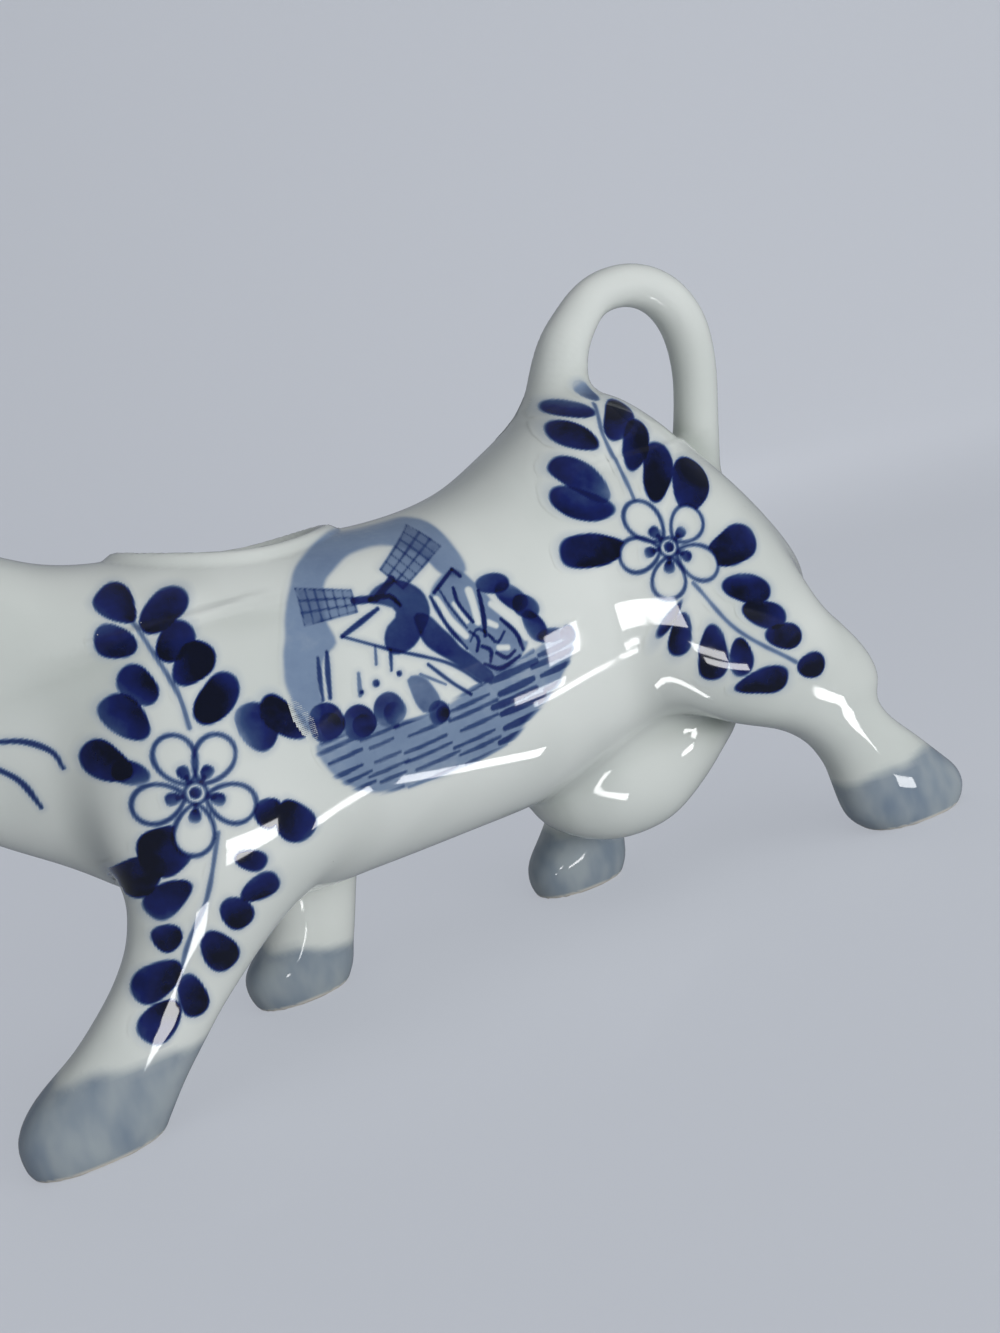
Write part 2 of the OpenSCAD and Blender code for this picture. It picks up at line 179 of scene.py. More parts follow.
def crossLoft(p, table):
    # a loft along x, whose rows give its top, its underside and its half width
    def sample(x):
        top, bottom, half = readRows(table, x)
        return 0.0, half, (top + bottom) / 2, (top - bottom) / 2
    return loftField(p[:, 0], p[:, 1], p[:, 2], table[0], sample)


# legs: level sections from the sole up into the flank

legs = {
    "hoofLength": 24.0,
    "hoofWidth": 13.6,
    "hoofHeight": 10.0,
    "track": 30.0,
    "rowBlur": 0.9,
    "creaseRadius": 5.5,
    "soleEdge": 0.7,
    "boxes": {
        "left_fore": ((-84, -34, -1), (-8, 8, 79)), "right_fore": ((-46, -8, -1), (8, 34, 79)),
        "left_hind": ((22, -34, -1), (100, 8, 84)), "right_hind": ((10, -8, -1), (78, 34, 84))},
}
legRows = {  # height, middle, length, and width to the inner and the outer side
    "left_fore": (-1, [
        (0.000, -0.0040, 0.776, 0.44, 0.44), (0.023, -0.0015, 0.875, 0.49, 0.49),
        (0.068, 0.0110, 0.999, 0.50, 0.50), (0.114, 0.0370, 1.022, 0.47, 0.47),
        (0.159, 0.0730, 0.928, 0.44, 0.45), (0.205, 0.1070, 0.928, 0.44, 0.45),
        (0.250, 0.1380, 0.975, 0.46, 0.50), (0.307, 0.1740, 1.128, 0.49, 0.60),
        (0.386, 0.2035, 1.322, 0.52, 0.73), (0.489, 0.2130, 1.457, 0.60, 0.78),
        (0.591, 0.2165, 1.392, 0.66, 0.72), (0.682, 0.2170, 1.116, 0.72, 0.54),
        (0.750, 0.2170, 0.764, 0.72, 0.28), (0.795, 0.2170, 0.317, 0.60, 0.05)]),
    "right_fore": (1, [
        (0.000, 0.2680, 0.658, 0.44, 0.44), (0.030, 0.2705, 0.770, 0.49, 0.49),
        (0.068, 0.2755, 0.793, 0.50, 0.50), (0.114, 0.2943, 0.692, 0.47, 0.47),
        (0.170, 0.3100, 0.643, 0.44, 0.45), (0.250, 0.3205, 0.735, 0.46, 0.50),
        (0.341, 0.3210, 1.022, 0.49, 0.64), (0.455, 0.3190, 1.246, 0.58, 0.76),
        (0.568, 0.3120, 1.246, 0.66, 0.73), (0.670, 0.3045, 1.028, 0.72, 0.54),
        (0.740, 0.3000, 0.705, 0.72, 0.28), (0.785, 0.2960, 0.305, 0.60, 0.05)]),
    "left_hind": (-1, [
        (0.000, 1.0248, 0.742, 0.44, 0.44), (0.030, 1.0213, 0.933, 0.49, 0.49),
        (0.068, 1.0150, 0.958, 0.50, 0.50), (0.114, 1.0010, 0.848, 0.47, 0.47),
        (0.159, 0.9860, 0.740, 0.43, 0.43), (0.216, 0.9600, 0.668, 0.43, 0.42),
        (0.261, 0.9355, 0.800, 0.46, 0.45), (0.307, 0.9085, 1.215, 0.50, 0.52),
        (0.375, 0.8695, 1.500, 0.60, 0.61), (0.466, 0.8330, 1.455, 0.72, 0.65),
        (0.568, 0.8090, 1.370, 0.86, 0.61), (0.682, 0.7890, 1.110, 0.96, 0.48),
        (0.780, 0.7770, 0.700, 0.98, 0.24), (0.850, 0.7725, 0.323, 0.90, -0.10)]),
    "right_hind": (1, [
        (0.000, 0.6510, 0.680, 0.44, 0.44), (0.030, 0.6540, 0.777, 0.49, 0.49),
        (0.068, 0.6585, 0.771, 0.50, 0.50), (0.114, 0.6740, 0.672, 0.47, 0.47),
        (0.159, 0.6930, 0.664, 0.44, 0.43), (0.205, 0.7195, 0.852, 0.46, 0.43),
        (0.261, 0.7490, 1.150, 0.50, 0.47), (0.330, 0.7745, 1.420, 0.56, 0.54),
        (0.420, 0.7910, 1.516, 0.68, 0.62), (0.545, 0.7960, 1.433, 0.84, 0.61),
        (0.670, 0.7880, 1.152, 0.96, 0.48), (0.775, 0.7740, 0.728, 0.98, 0.24),
        (0.850, 0.7725, 0.323, 0.90, -0.10)]),
}


def legTable(side, rows):
    rows = np.array(rows)
    middleX = neckX + rows[:, 1] * form["bodyLength"]
    halfLength = rows[:, 2] * legs["hoofLength"] / 2
    inner = rows[:, 3] * legs["hoofWidth"]
    outer = rows[:, 4] * legs["hoofWidth"]
    centreY = side * (legs["track"] / 2 + (outer - inner) / 2)
    table = np.stack([rows[:, 0] * form["rumpHeight"], middleX, halfLength, centreY, (inner + outer) / 2], 1)
    return fairRows(table, form["rowStep"], legs["rowBlur"])


legTables = {name: legTable(side, rows) for name, (side, rows) in legRows.items()}


def legField(p, name):
    table = legTables[name]
    return loftField(p[:, 2], p[:, 0], p[:, 1], table[0], lambda z: readRows(table, z))


# udder: a bag between the hind legs, steep in front

udder = {
    "length": 44.0, "width": 22.0, "drop": 37.0, "frontShare": 0.565, "middleShare": 0.54,
    "rowBlur": 0.8, "creaseRadius": 3.0, "box": ((11, -16, 5), (67, 16, 42)),
}
udderRows = np.array([  # along, underside and top from the barrel's middle, half width
    (-0.015, 0.52, 0.50, 0.02), (0.00, 0.62, 0.40, 0.20), (0.06, 0.80, 0.34, 0.56), (0.16, 0.91, 0.30, 0.80),
    (0.29, 0.98, 0.28, 0.96), (0.43, 1.00, 0.27, 1.00), (0.57, 0.975, 0.26, 0.96), (0.72, 0.88, 0.25, 0.84),
    (0.86, 0.76, 0.24, 0.66), (0.95, 0.68, 0.26, 0.44), (1.00, 0.58, 0.36, 0.16), (1.015, 0.48, 0.46, 0.02)])
udderMiddle = udder["middleShare"] * form["rumpHeight"]
udderTable = fairRows(np.stack([
    neckX + udder["frontShare"] * form["bodyLength"] + udderRows[:, 0] * udder["length"],
    udderMiddle - udderRows[:, 2] * udder["drop"], udderMiddle - udderRows[:, 1] * udder["drop"],
    udderRows[:, 3] * udder["width"] / 2], 1), form["rowStep"], udder["rowBlur"])


# tail, horns and ears follow lines of points with a thickness at each

tail = {
    "span": 26.0, "rise": 13.5, "thickness": 7.0, "rootShare": 0.742, "count": 56,
    "creaseRadius": 3.2, "box": ((27, -12, 54), (80, 12, 110)),
}
tailRows = np.array([
    (-0.06, -0.45, 1.75), (0.00, -0.02, 1.48), (0.09, 0.38, 1.26), (0.22, 0.68, 1.08), (0.38, 0.92, 0.98),
    (0.58, 1.00, 1.00), (0.78, 0.91, 1.06), (0.93, 0.66, 1.12), (1.01, 0.28, 1.14), (1.01, -0.22, 1.10),
    (0.95, -0.75, 1.10), (0.87, -1.30, 1.20), (0.80, -1.75, 1.30)])
horns = {
    "length": 17.0, "sizes": (6.4,), "at": (0.12, 0.50, 0.965), "lean": -1, "count": 16,
    "creaseRadius": 1.6, "box": ((-73, 1, 76), (-58, 21, 101)),
}
hornRows = np.array([
    (-0.22, -0.20, 0.00, 1.00), (0.06, 0.00, 0.00, 0.96), (0.30, 0.17, -0.03, 0.80),
    (0.46, 0.40, -0.08, 0.58), (0.50, 0.62, -0.15, 0.36), (0.46, 0.76, -0.20, 0.12)])
ears = {
    "length": 17.0, "sizes": (9.0, 3.6), "at": (0.22, 0.80, 0.875), "lean": 1, "count": 24,
    "broad": (0.33, 0.0, 0.944), "cup": 1.1, "creaseRadius": 1.6, "box": ((-76, 6, 66), (-60, 30, 88)),
}
earRows = np.array([
    (-0.25, 0.06, 0.00, 0.45, 0.95), (0.10, 0.00, 0.02, 0.70, 1.00), (0.40, 0.00, 0.08, 1.00, 0.95),
    (0.70, 0.05, 0.16, 0.80, 0.80), (0.90, 0.10, 0.22, 0.42, 0.60), (0.98, 0.13, 0.25, 0.10, 0.30)])


def spread(rows, count):
    # evenly counted points along rows, by the same smooth curve
    table = fairRows(np.concatenate([np.linspace(0, 1, len(rows))[:, None], rows], 1), 1 / 400, 0.012)
    return np.stack(readRows(table, np.linspace(0, table[0][-1], count)), 1)


tailLine = spread(tailRows, tail["count"])
tailPoints = np.stack([
    neckX + tail["rootShare"] * form["bodyLength"] + tailLine[:, 0] * tail["span"],
    np.zeros(len(tailLine)),
    form["rumpHeight"] + tailLine[:, 1] * tail["rise"],
    tailLine[:, 2] * tail["thickness"] / 2], 1)


def fromStep(p, a, b):
    # how far along one step of a line a point's nearest place is, and the way from there to the point
    step = b[:3] - a[:3]
    t = np.clip((p - a[:3]) @ step / (step @ step), 0, 1)
    return t, p - a[:3] - t[:, None] * step


def chainField(p, points):
    # distance to a run of round cones
    best = np.full(len(p), 1e3)
    for a, b in zip(points[:-1], points[1:]):
        t, off = fromStep(p, a, b)
        best = np.minimum(best, np.linalg.norm(off, axis=1) - (a[3] + t * (b[3] - a[3])))
    return best


def headLine(piece, rows, side):
    # a horn or an ear, from its root on the head
    line = spread(rows, piece["count"])
    back, out, up = piece["at"]
    root = (neckX - back * form["headLength"], side * out * form["headWidth"] / 2, up * form["rumpHeight"])
    return np.stack([
        root[0] + piece["lean"] * line[:, 2] * piece["length"], root[1] + side * line[:, 0] * piece["length"],
        root[2] + line[:, 1] * piece["length"],
        *(line[:, 3 + n] * size / 2 for n, size in enumerate(piece["sizes"]))], 1)


def earField(p, points):
    broadWay = np.array(ears["broad"])
    best = np.full(len(p), 1e3)
    for a, b in zip(points[:-1], points[1:]):
        t, off = fromStep(p, a, b)
        broad = off @ broadWay
        half = a[3] + t * (b[3] - a[3])
        thick = np.maximum(a[4] + t * (b[4] - a[4]), 0.1)
        flat = off - broad[:, None] * broadWay
        # the ear is cupped: its middle lies further back than its edges
        cup = (broad / np.maximum(half, 0.3)) ** 2 - 0.5
        flat[:, 0] += ears["cup"] * cup * np.minimum(half / (ears["sizes"][0] / 2), 1)
        deep = np.linalg.norm(flat, axis=1)
        half = np.maximum(half, 0.1)
        q = np.maximum(np.hypot(broad / half, deep / thick), 1e-6)
        grow = np.hypot(broad / half**2, deep / thick**2) / q
        best = np.minimum(best, (q - 1) / np.maximum(grow, 1e-3))
    return best


hornLines = {side: headLine(horns, hornRows, side) for label, side in sides}
earLines = {side: headLine(ears, earRows, side) for label, side in sides}


# filler opening with its rolled lip, and the open mouth

filler = {
    "share": 0.305, "length": 29.0, "width": 20.0, "lip": 3.0, "lipBlend": 1.2, "edge": 1.0, "floor": 60.0,
    "box": ((-42, -14, 60), (2, 14, 92)), "lipBox": ((-42, -16, 64), (2, 16, 88)),
}
mouth = {
    "width": 12.0, "height": 6.5, "zShare": 0.690, "depth": 14.0, "flare": 1.25, "edge": 1.0,
    "lip": 2.8, "lipBlend": 1.2, "lipWide": 1.1, "lipHigh": 1.12,
    "lipBack": 2.2, "lipBow": 1.0, "upperBack": 0.6,
}
fillerX = neckX + filler["share"] * form["bodyLength"]
noseX = neckX - form["headLength"]
mouthZ = mouth["zShare"] * form["rumpHeight"]


def backHeight(x, y):
    top, bottom, half = readRows(trunkTable, x)
    inside = np.clip(1 - np.abs(y / half) ** form["roundness"], 0, 1)
    return (top + bottom) / 2 + (top - bottom) / 2 * inside ** (1 / form["roundness"])


def beadField(p, x, y, z, thickness):
    return np.sqrt((p[:, 0] - x) ** 2 + (p[:, 1] - y) ** 2 + (p[:, 2] - z) ** 2) - thickness / 2


def holeField(u, v, halfU, halfV, power):
    q, gu, gv = ovalDistance(u, v, halfU, halfV, power)
    return (q - 1) / np.hypot(gu, gv)


def fillerLipField(p):
    halfX = (filler["length"] + filler["lip"]) / 2
    halfY = (filler["width"] + filler["lip"]) / 2
    angle = np.arctan2(p[:, 1] / halfY, (p[:, 0] - fillerX) / halfX)
    for _ in range(3):  # walks to the nearest place on the oval
        dx = p[:, 0] - fillerX - halfX * np.cos(angle)
        dy = p[:, 1] - halfY * np.sin(angle)
        along = -dx * halfX * np.sin(angle) + dy * halfY * np.cos(angle)
        angle = angle + along / (halfX**2 * np.sin(angle) ** 2 + halfY**2 * np.cos(angle) ** 2)
    x = fillerX + halfX * np.cos(angle)
    y = halfY * np.sin(angle)
    return beadField(p, x, y, backHeight(x, y) - filler["lip"] / 6, filler["lip"])


def fillerField(p):
    hole = holeField(p[:, 0] - fillerX, p[:, 1], filler["length"] / 2, filler["width"] / 2, 2.0)
    return np.maximum(hole, filler["floor"] - p[:, 2])


def mouthField(p):
    inward = np.clip((p[:, 0] - noseX) / mouth["depth"], 0, 1)
    grow = 1 + (mouth["flare"] - 1) * (1 - inward) ** 2
    halfY, halfZ = mouth["width"] / 2 * grow, mouth["height"] / 2 * grow
    hole = holeField(p[:, 1], p[:, 2] - mouthZ, halfY, halfZ, form["roundness"])
    return np.maximum(hole, p[:, 0] - noseX - mouth["depth"])


def lipsField(p):
    # a bead round the mouth's edge
    halfY = mouth["width"] / 2 * mouth["flare"] * mouth["lipWide"]
    halfZ = mouth["height"] / 2 * mouth["flare"] * mouth["lipHigh"]
    angle = np.arctan2((p[:, 2] - mouthZ) / halfZ, p[:, 1] / halfY)
    x = (noseX + mouth["lipBack"] - mouth["lipBow"] * np.abs(np.sin(angle))
         + mouth["upperBack"] * (np.sin(angle) > 0))
    return beadField(p, x, halfY * np.cos(angle), mouthZ + halfZ * np.sin(angle), mouth["lip"])


face = {  # on both sides: back from the neck joint, out and up; half sizes; fillet
    "poll": ((3.0, 0.0, 86.0), (6.0, 8.0, 3.4), 3.0),
    "brow": ((9.6, 9.0, 78.6), (5.5, 4.5, 2.6), 2.5),
    "cheek": ((10.0, 8.2, 64.5), (7.5, 5.0, 7.5), 4.0),
    "eye": ((12.2, 10.4, 74.6), (3.0, 1.9, 2.1), 0.7),
    "nostril": ((28.3, 4.6, 67.2), (2.0, 1.3, 1.1), 0.8),
}


def faceField(p, name):
    (back, out, up), radii = face[name][:2]
    off = (np.stack([p[:, 0], np.abs(p[:, 1]), p[:, 2]], 1) - (neckX - back, out, up)) / radii
    q = np.maximum(np.linalg.norm(off, axis=1), 1e-6)
    return (q - 1) / (np.linalg.norm(off / radii, axis=1) / q)


def blend(a, b, radius):
    return np.minimum(a, b) - np.maximum(radius - np.abs(a - b), 0) ** 2 / (4 * radius)


def carve(a, b, radius):
    return -blend(-a, b, radius)


# every luted piece: the box it lives in, the fillet where it joins and its field

trunkBox = ((noseX - 8, -34, 11), (neckX + form["bodyLength"] + 9, 34, 97))
headBox = ((noseX - 6, -27, 42), (neckX + 12, 27, 97))
mouthBox = ((noseX - 5, -12, 50), (noseX + 16, 12, 72))


def onSide(box, side):
    (x0, y0, z0), (x1, y1, z1) = box
    return box if side > 0 else ((x0, -y1, z0), (x1, -y0, z1))


clayPieces = [(name + "_leg", legs["boxes"][name], legs["creaseRadius"], legField, name) for name in legRows]
clayPieces += [("udder", udder["box"], udder["creaseRadius"], crossLoft, udderTable),
               ("tail_handle", tail["box"], tail["creaseRadius"], chainField, tailPoints)]
headPairs = (("horn", horns, chainField, hornLines), ("ear", ears, earField, earLines))
for kind, piece, fieldOf, lines in headPairs:
    for label, side in sides:
        box = onSide(piece["box"], side)
        clayPieces.append((f"{label}_{kind}", box, piece["creaseRadius"], fieldOf, lines[side]))


def boxed(p, box, fieldOf, *given):
    held = np.all((p > box[0]) & (p < box[1]), axis=1)
    out = np.full(len(p), form["far"])
    if held.any():
        out[held] = fieldOf(p[held], *given)
    return out


def clayField(p, parts=None):
    trunk = boxed(p, trunkBox, crossLoft, trunkTable)
    if parts is not None:
        parts["trunk"] = trunk
    whole = trunk
    for name in ("poll", "brow", "cheek"):
        whole = blend(whole, boxed(p, headBox, faceField, name), face[name][2])
    whole = blend(whole, boxed(p, headBox, lipsField), mouth["lipBlend"])
    for name, box, radius, fieldOf, given in clayPieces:
        piece = boxed(p, box, fieldOf, given)
        if parts is not None:
            parts[name] = piece
        whole = blend(whole, piece, radius)
    whole = blend(whole, boxed(p, filler["lipBox"], fillerLipField), filler["lipBlend"])
    whole = blend(whole, boxed(p, headBox, faceField, "eye"), face["eye"][2])
    whole = carve(whole, trunk + form["wall"], form["wallEdge"])
    whole = carve(whole, boxed(p, filler["box"], fillerField), filler["edge"])
    whole = carve(whole, boxed(p, mouthBox, mouthField), mouth["edge"])
    whole = carve(whole, boxed(p, headBox, faceField, "nostril"), face["nostril"][2])
    return carve(whole, p[:, 2], legs["soleEdge"])


pieceOrder = ["body_shell", "head_shell", *(piece[0] for piece in clayPieces)]
pieceOrder += [name + "_hoof" for name in legRows]


def ownerOf(parts, p):
    # whose clay it is: the first piece that holds the point, or else the nearest
    stack = np.stack([parts["trunk"]] + [parts[piece[0]] for piece in clayPieces])
    held = stack < 0
    owner = np.where(held.any(0), np.argmax(held, 0), np.argmin(stack, 0)) + 1
    owner = np.where(owner > 1, owner + 1, owner)
    owner[(owner == 1) & (p[:, 0] < neckX)] = 2
    hoof = (owner >= 3) & (owner <= 6) & (p[:, 2] < legs["hoofHeight"])
    owner[hoof] += len(clayPieces)
    return owner


def seamGap(p, first, second):
    # zero on the face where two neighbouring pieces are luted together
    if pieceOrder[second - 1].endswith("hoof"):
        return p[:, 2] - legs["hoofHeight"]
    if second == 2:
        return p[:, 0] - neckX
    parts = {}
    clayField(p, parts)
    names = ["trunk" if n <= 2 else pieceOrder[n - 1] for n in (first, second)]
    return parts[names[0]] - np.maximum(parts[names[1]], 0)


def slopeOf(p, reach=0.12, fieldOf=clayField):
    out = np.empty_like(p)
    for axis in range(3):
        off = np.zeros(3)
        off[axis] = reach
        out[:, axis] = fieldOf(p + off) - fieldOf(p - off)
    return out / (2 * reach)


def unitSlope(p, reach=0.12):
    slope = slopeOf(p, reach)
    return slope / np.maximum(np.linalg.norm(slope, axis=1), 1e-9)[:, None]


def toSkin(p, along=1.0, most=np.inf):
    # one step down the slope, to where the field is zero
    slope = slopeOf(p) * along
    move = -(clayField(p) / np.maximum((slope**2).sum(1), 0.05))[:, None] * slope
    return p + np.clip(move, -most, most)


def netPieces(values, owner, origin, step):
    # one point in every cell that a surface crosses, one face across every edge that it cuts
    corners = [(i, j, k) for i in (0, 1) for j in (0, 1) for k in (0, 1)]
    shape = tuple(n - 1 for n in values.shape)
    mixed = np.zeros(shape, bool)
    for i, j, k in corners[1:]:
        mixed |= owner[i:i + shape[0], j:j + shape[1], k:k + shape[2]] != owner[:-1, :-1, :-1]
    cells = np.argwhere(mixed)
    number = np.full(shape, -1, np.int64)
    number[tuple(cells.T)] = np.arange(len(cells))
    total = np.zeros((2, len(cells), 3))
    weight = np.zeros((2, len(cells)))
    firstOwner = np.full(len(cells), 99)
    lastOwner = np.zeros(len(cells), int)
    for a in corners:
        ownerA = owner[tuple((cells + a).T)]
        firstOwner = np.where(ownerA > 0, np.minimum(firstOwner, ownerA), firstOwner)
        lastOwner = np.maximum(lastOwner, ownerA)
        for axis in range(3):
            if a[axis]:
                continue
            b = tuple(a[n] + (n == axis) for n in range(3))
            ownerB = owner[tuple((cells + b).T)]
            va = values[tuple((cells + a).T)]
            vb = values[tuple((cells + b).T)]
            air = (ownerA == 0) != (ownerB == 0)
            t = np.where(air, va / np.where(air, va - vb, 1), 0.5)
            point = np.array(a)[None, :] + t[:, None] * (np.arange(3) == axis)
            for kind, cut in ((0, air), (1, ownerA != ownerB)):
                total[kind] += np.where(cut[:, None], point, 0)
                weight[kind] += cut
    onSkin = weight[0] > 0
    kind = np.where(onSkin, 0, 1)
    every = np.arange(len(cells))
    points = origin + (cells + total[kind, every] / weight[kind, every][:, None]) * step
    quads, inner, outer = [], [], []
    for axis in range(3):
        u, v = [n for n in range(3) if n != axis]
        low = owner[tuple(slice(0, -1) if n == axis else slice(None) for n in range(3))]
        high = owner[tuple(slice(1, None) if n == axis else slice(None) for n in range(3))]
        edges = np.argwhere(low != high)
        edges = edges[(edges[:, [u, v]] > 0).all(1) & (edges[:, u] < shape[u]) & (edges[:, v] < shape[v])]
        around = []
        for du, dv in ((-1, -1), (0, -1), (0, 0), (-1, 0)):
            cell = edges.copy()
            cell[:, u] += du
            cell[:, v] += dv
            around.append(number[tuple(cell.T)])
        quad = np.stack(around, 1)
        quads.append(quad[:, ::-1] if axis == 1 else quad)
        inner.append(low[tuple(edges.T)])
        outer.append(high[tuple(edges.T)])
    return (points, np.concatenate(quads), np.concatenate(inner), np.concatenate(outer),
            onSkin, firstOwner, lastOwner)


skinning = {
    "step": 0.85,
    "slab": 20,  # rows of the grid at a time, which keeps the memory small
    "turns": 4,
    "slide": 0.25,
    "clear": 0.03,  # how far the points of a hoof and of its leg stay from their seam
    "sink": 0.3,
    "shadeReach": 0.3,
}


def slideToSeams(points, onSkin, first, last):
    # a point on a seam slides along the skin to where the two pieces meet
    for a, b in {(a, b) for a, b in zip(first, last) if a < b}:
        seam = (first == a) & (last == b)
        here = points[seam]
        gap = seamGap(here, a, b)
        across = slopeOf(here, fieldOf=lambda q: seamGap(q, a, b))
        skinward = unitSlope(here)
        along = across - np.where(onSkin[seam], (across * skinward).sum(1), 0)[:, None] * skinward
        move = -(gap / np.maximum((along**2).sum(1), 0.15))[:, None] * along
        points[seam] = here + np.clip(move, -skinning["slide"], skinning["slide"])


def keepApart(points, onSkin, first, last):
    # a point of a hoof alone stays below its seam, and one of a leg alone above it
    for ending, sign in (("leg", 1), ("hoof", -1)):
        own = [n for n, name in enumerate(pieceOrder, 1) if name.endswith(ending)]
        past = sign * (points[:, 2] - legs["hoofHeight"]) < skinning["clear"]
        past &= onSkin & (first == last) & np.isin(last, own)
        level = points[past]
        level[:, 2] = legs["hoofHeight"] + skinning["clear"] * sign
        for turn in range(3):
            level = toSkin(level, along=(1, 1, 0))
        points[past] = level


def makeSkin():
    step = skinning["step"]
    low = np.array([noseX - 3.0, -30.0, -2.0])
    high = np.array([neckX + form["heelReach"] + 3.0, 30.0, 108.0])
    axes = [np.arange(low[n], high[n], step) for n in range(3)]
    grid = np.stack(np.meshgrid(*axes, indexing="ij"), -1)
    values = np.empty(grid.shape[:3])
    owner = np.empty(grid.shape[:3], np.int8)
    for i in range(0, grid.shape[0], skinning["slab"]):
        part = slice(i, i + skinning["slab"])
        slab = grid[part].reshape(-1, 3)
        parts = {}
        found = clayField(slab, parts)
        values[part] = found.reshape(values[part].shape)
        owner[part] = np.where(found < 0, ownerOf(parts, slab), 0).reshape(values[part].shape)
    points, quads, inner, outer, onSkin, first, last = netPieces(values, owner, low, step)
    for turn in range(skinning["turns"]):
        slideToSeams(points, onSkin, first, last)
        points[onSkin] = toSkin(points[onSkin], most=step / 2)
    points[:, 2] = np.maximum(points[:, 2], 0.0)
    keepApart(points, onSkin, first, last)
    return points, quads, inner, outer, unitSlope(points, skinning["shadeReach"])


def closeSeams(points, quads, inner, outer, normals):
    # a face of a seam is split through its inner corner, and sunk in the clay where all its corners lie on
    # the skin, so that no sliver of it shows along the rim
    air = (inner == 0) | (outer == 0)
    onSkin = np.zeros(len(points), bool)
    onSkin[quads[air]] = True
    seam = quads[~air]
    turn = (~onSkin[seam]).argmax(1)[:, None] + np.arange(4)
    quads[~air] = np.take_along_axis(seam, turn % 4, 1)
    rim = np.flatnonzero(~air)[onSkin[seam].all(1)]
    corners = quads[rim]
    sunk = len(points) + np.arange(len(rim))
    middleSlope = normals[corners].mean(1)
    points = np.concatenate([points, points[corners].mean(1) - skinning["sink"] * middleSlope])
    normals = np.concatenate([normals, middleSlope])
    fans = [np.stack([corners[:, n], corners[:, (n + 1) % 4], sunk, sunk], 1) for n in range(4)]
    inner = np.concatenate([np.delete(inner, rim), np.tile(inner[rim], 4)])
    outer = np.concatenate([np.delete(outer, rim), np.tile(outer[rim], 4)])
    return points, np.concatenate([np.delete(quads, rim, 0)] + fans), inner, outer, normals


skinPoints, skinQuads, skinInner, skinOuter, skinNormals = closeSeams(*makeSkin())
print("skin", len(skinPoints), "points", len(skinQuads), "faces")


def linearColour(code):
    parts = [int(code[i:i + 2], 16) / 255 for i in (1, 3, 5)]
    return tuple(c / 12.92 if c <= 0.04045 else ((c + 0.055) / 1.055) ** 2.4 for c in parts) + (1.0,)


def addNode(tree, kind, inputs=None, **settings):
    made = tree.nodes.new(kind)
    for name, value in settings.items():
        setattr(made, name, value)
    for socket, value in (inputs or {}).items():
        if isinstance(value, bpy.types.NodeSocket):
            tree.links.new(value, made.inputs[socket])
        else:
            made.inputs[socket].default_value = value
    return made


def newMaterial(name):
    material = bpy.data.materials.new(name)
    material.use_nodes = True
    material.node_tree.nodes.clear()
    return material, material.node_tree


# glaze: a white earthenware glaze, dipped and fired glossy; it gives the eye a soft grey-green white
# that deepens in the creases, partly where it pooled and partly as painted crease shade, with iron specks,
# duller smears and a faintly waved shine

glaze = {
    # the crease grey below is partly pooled glaze and partly painted shade
    "white": "#d6dad5", "cloudy": "#c8cdc8", "pooledAndShaded": "#8b938b", "poolingAndShade": 0.85, "speck": "#6b6355",
    "creaseReaches": ((1.6, 0.6), (4.0, 0.7)),  # how far out the clay is felt for in a crease, and its share, for the glaze pooling and the painted crease shade
    "roughness": 0.05, "smearRoughness": 0.13, "ior": 1.5, "waveDepth": 0.03,
    "speckSpacing": 8.0, "speckSize": 0.22, "speckless": 0.72,
    "noises": {  # millimetres across, detail and roughness
        "cloud": (30.0, 2.0, 0.5), "grain": (1.1, 3.0, 0.5), "blot": (5.0, 1.0, 0.5),
        "smear": (14.0, 4.0, 0.65), "wave": (7.0, 1.0, 0.5)},
    "streak": (5.5, 5.5, 12.0), "wash": "#87929a", "washDark": "#6c7b8b", "foot": "#d9d2c4",
    "cobalt": (  # tones from a thin stroke to a pool of colour
        (0.0, 0.23, "#7588a1"), (0.23, 0.48, "#31466f"), (0.48, 0.7, "#101c58"), (0.7, 1.0, "#04081c")),
    "grainDepth": 0.22, "blotDepth": 0.36,
}


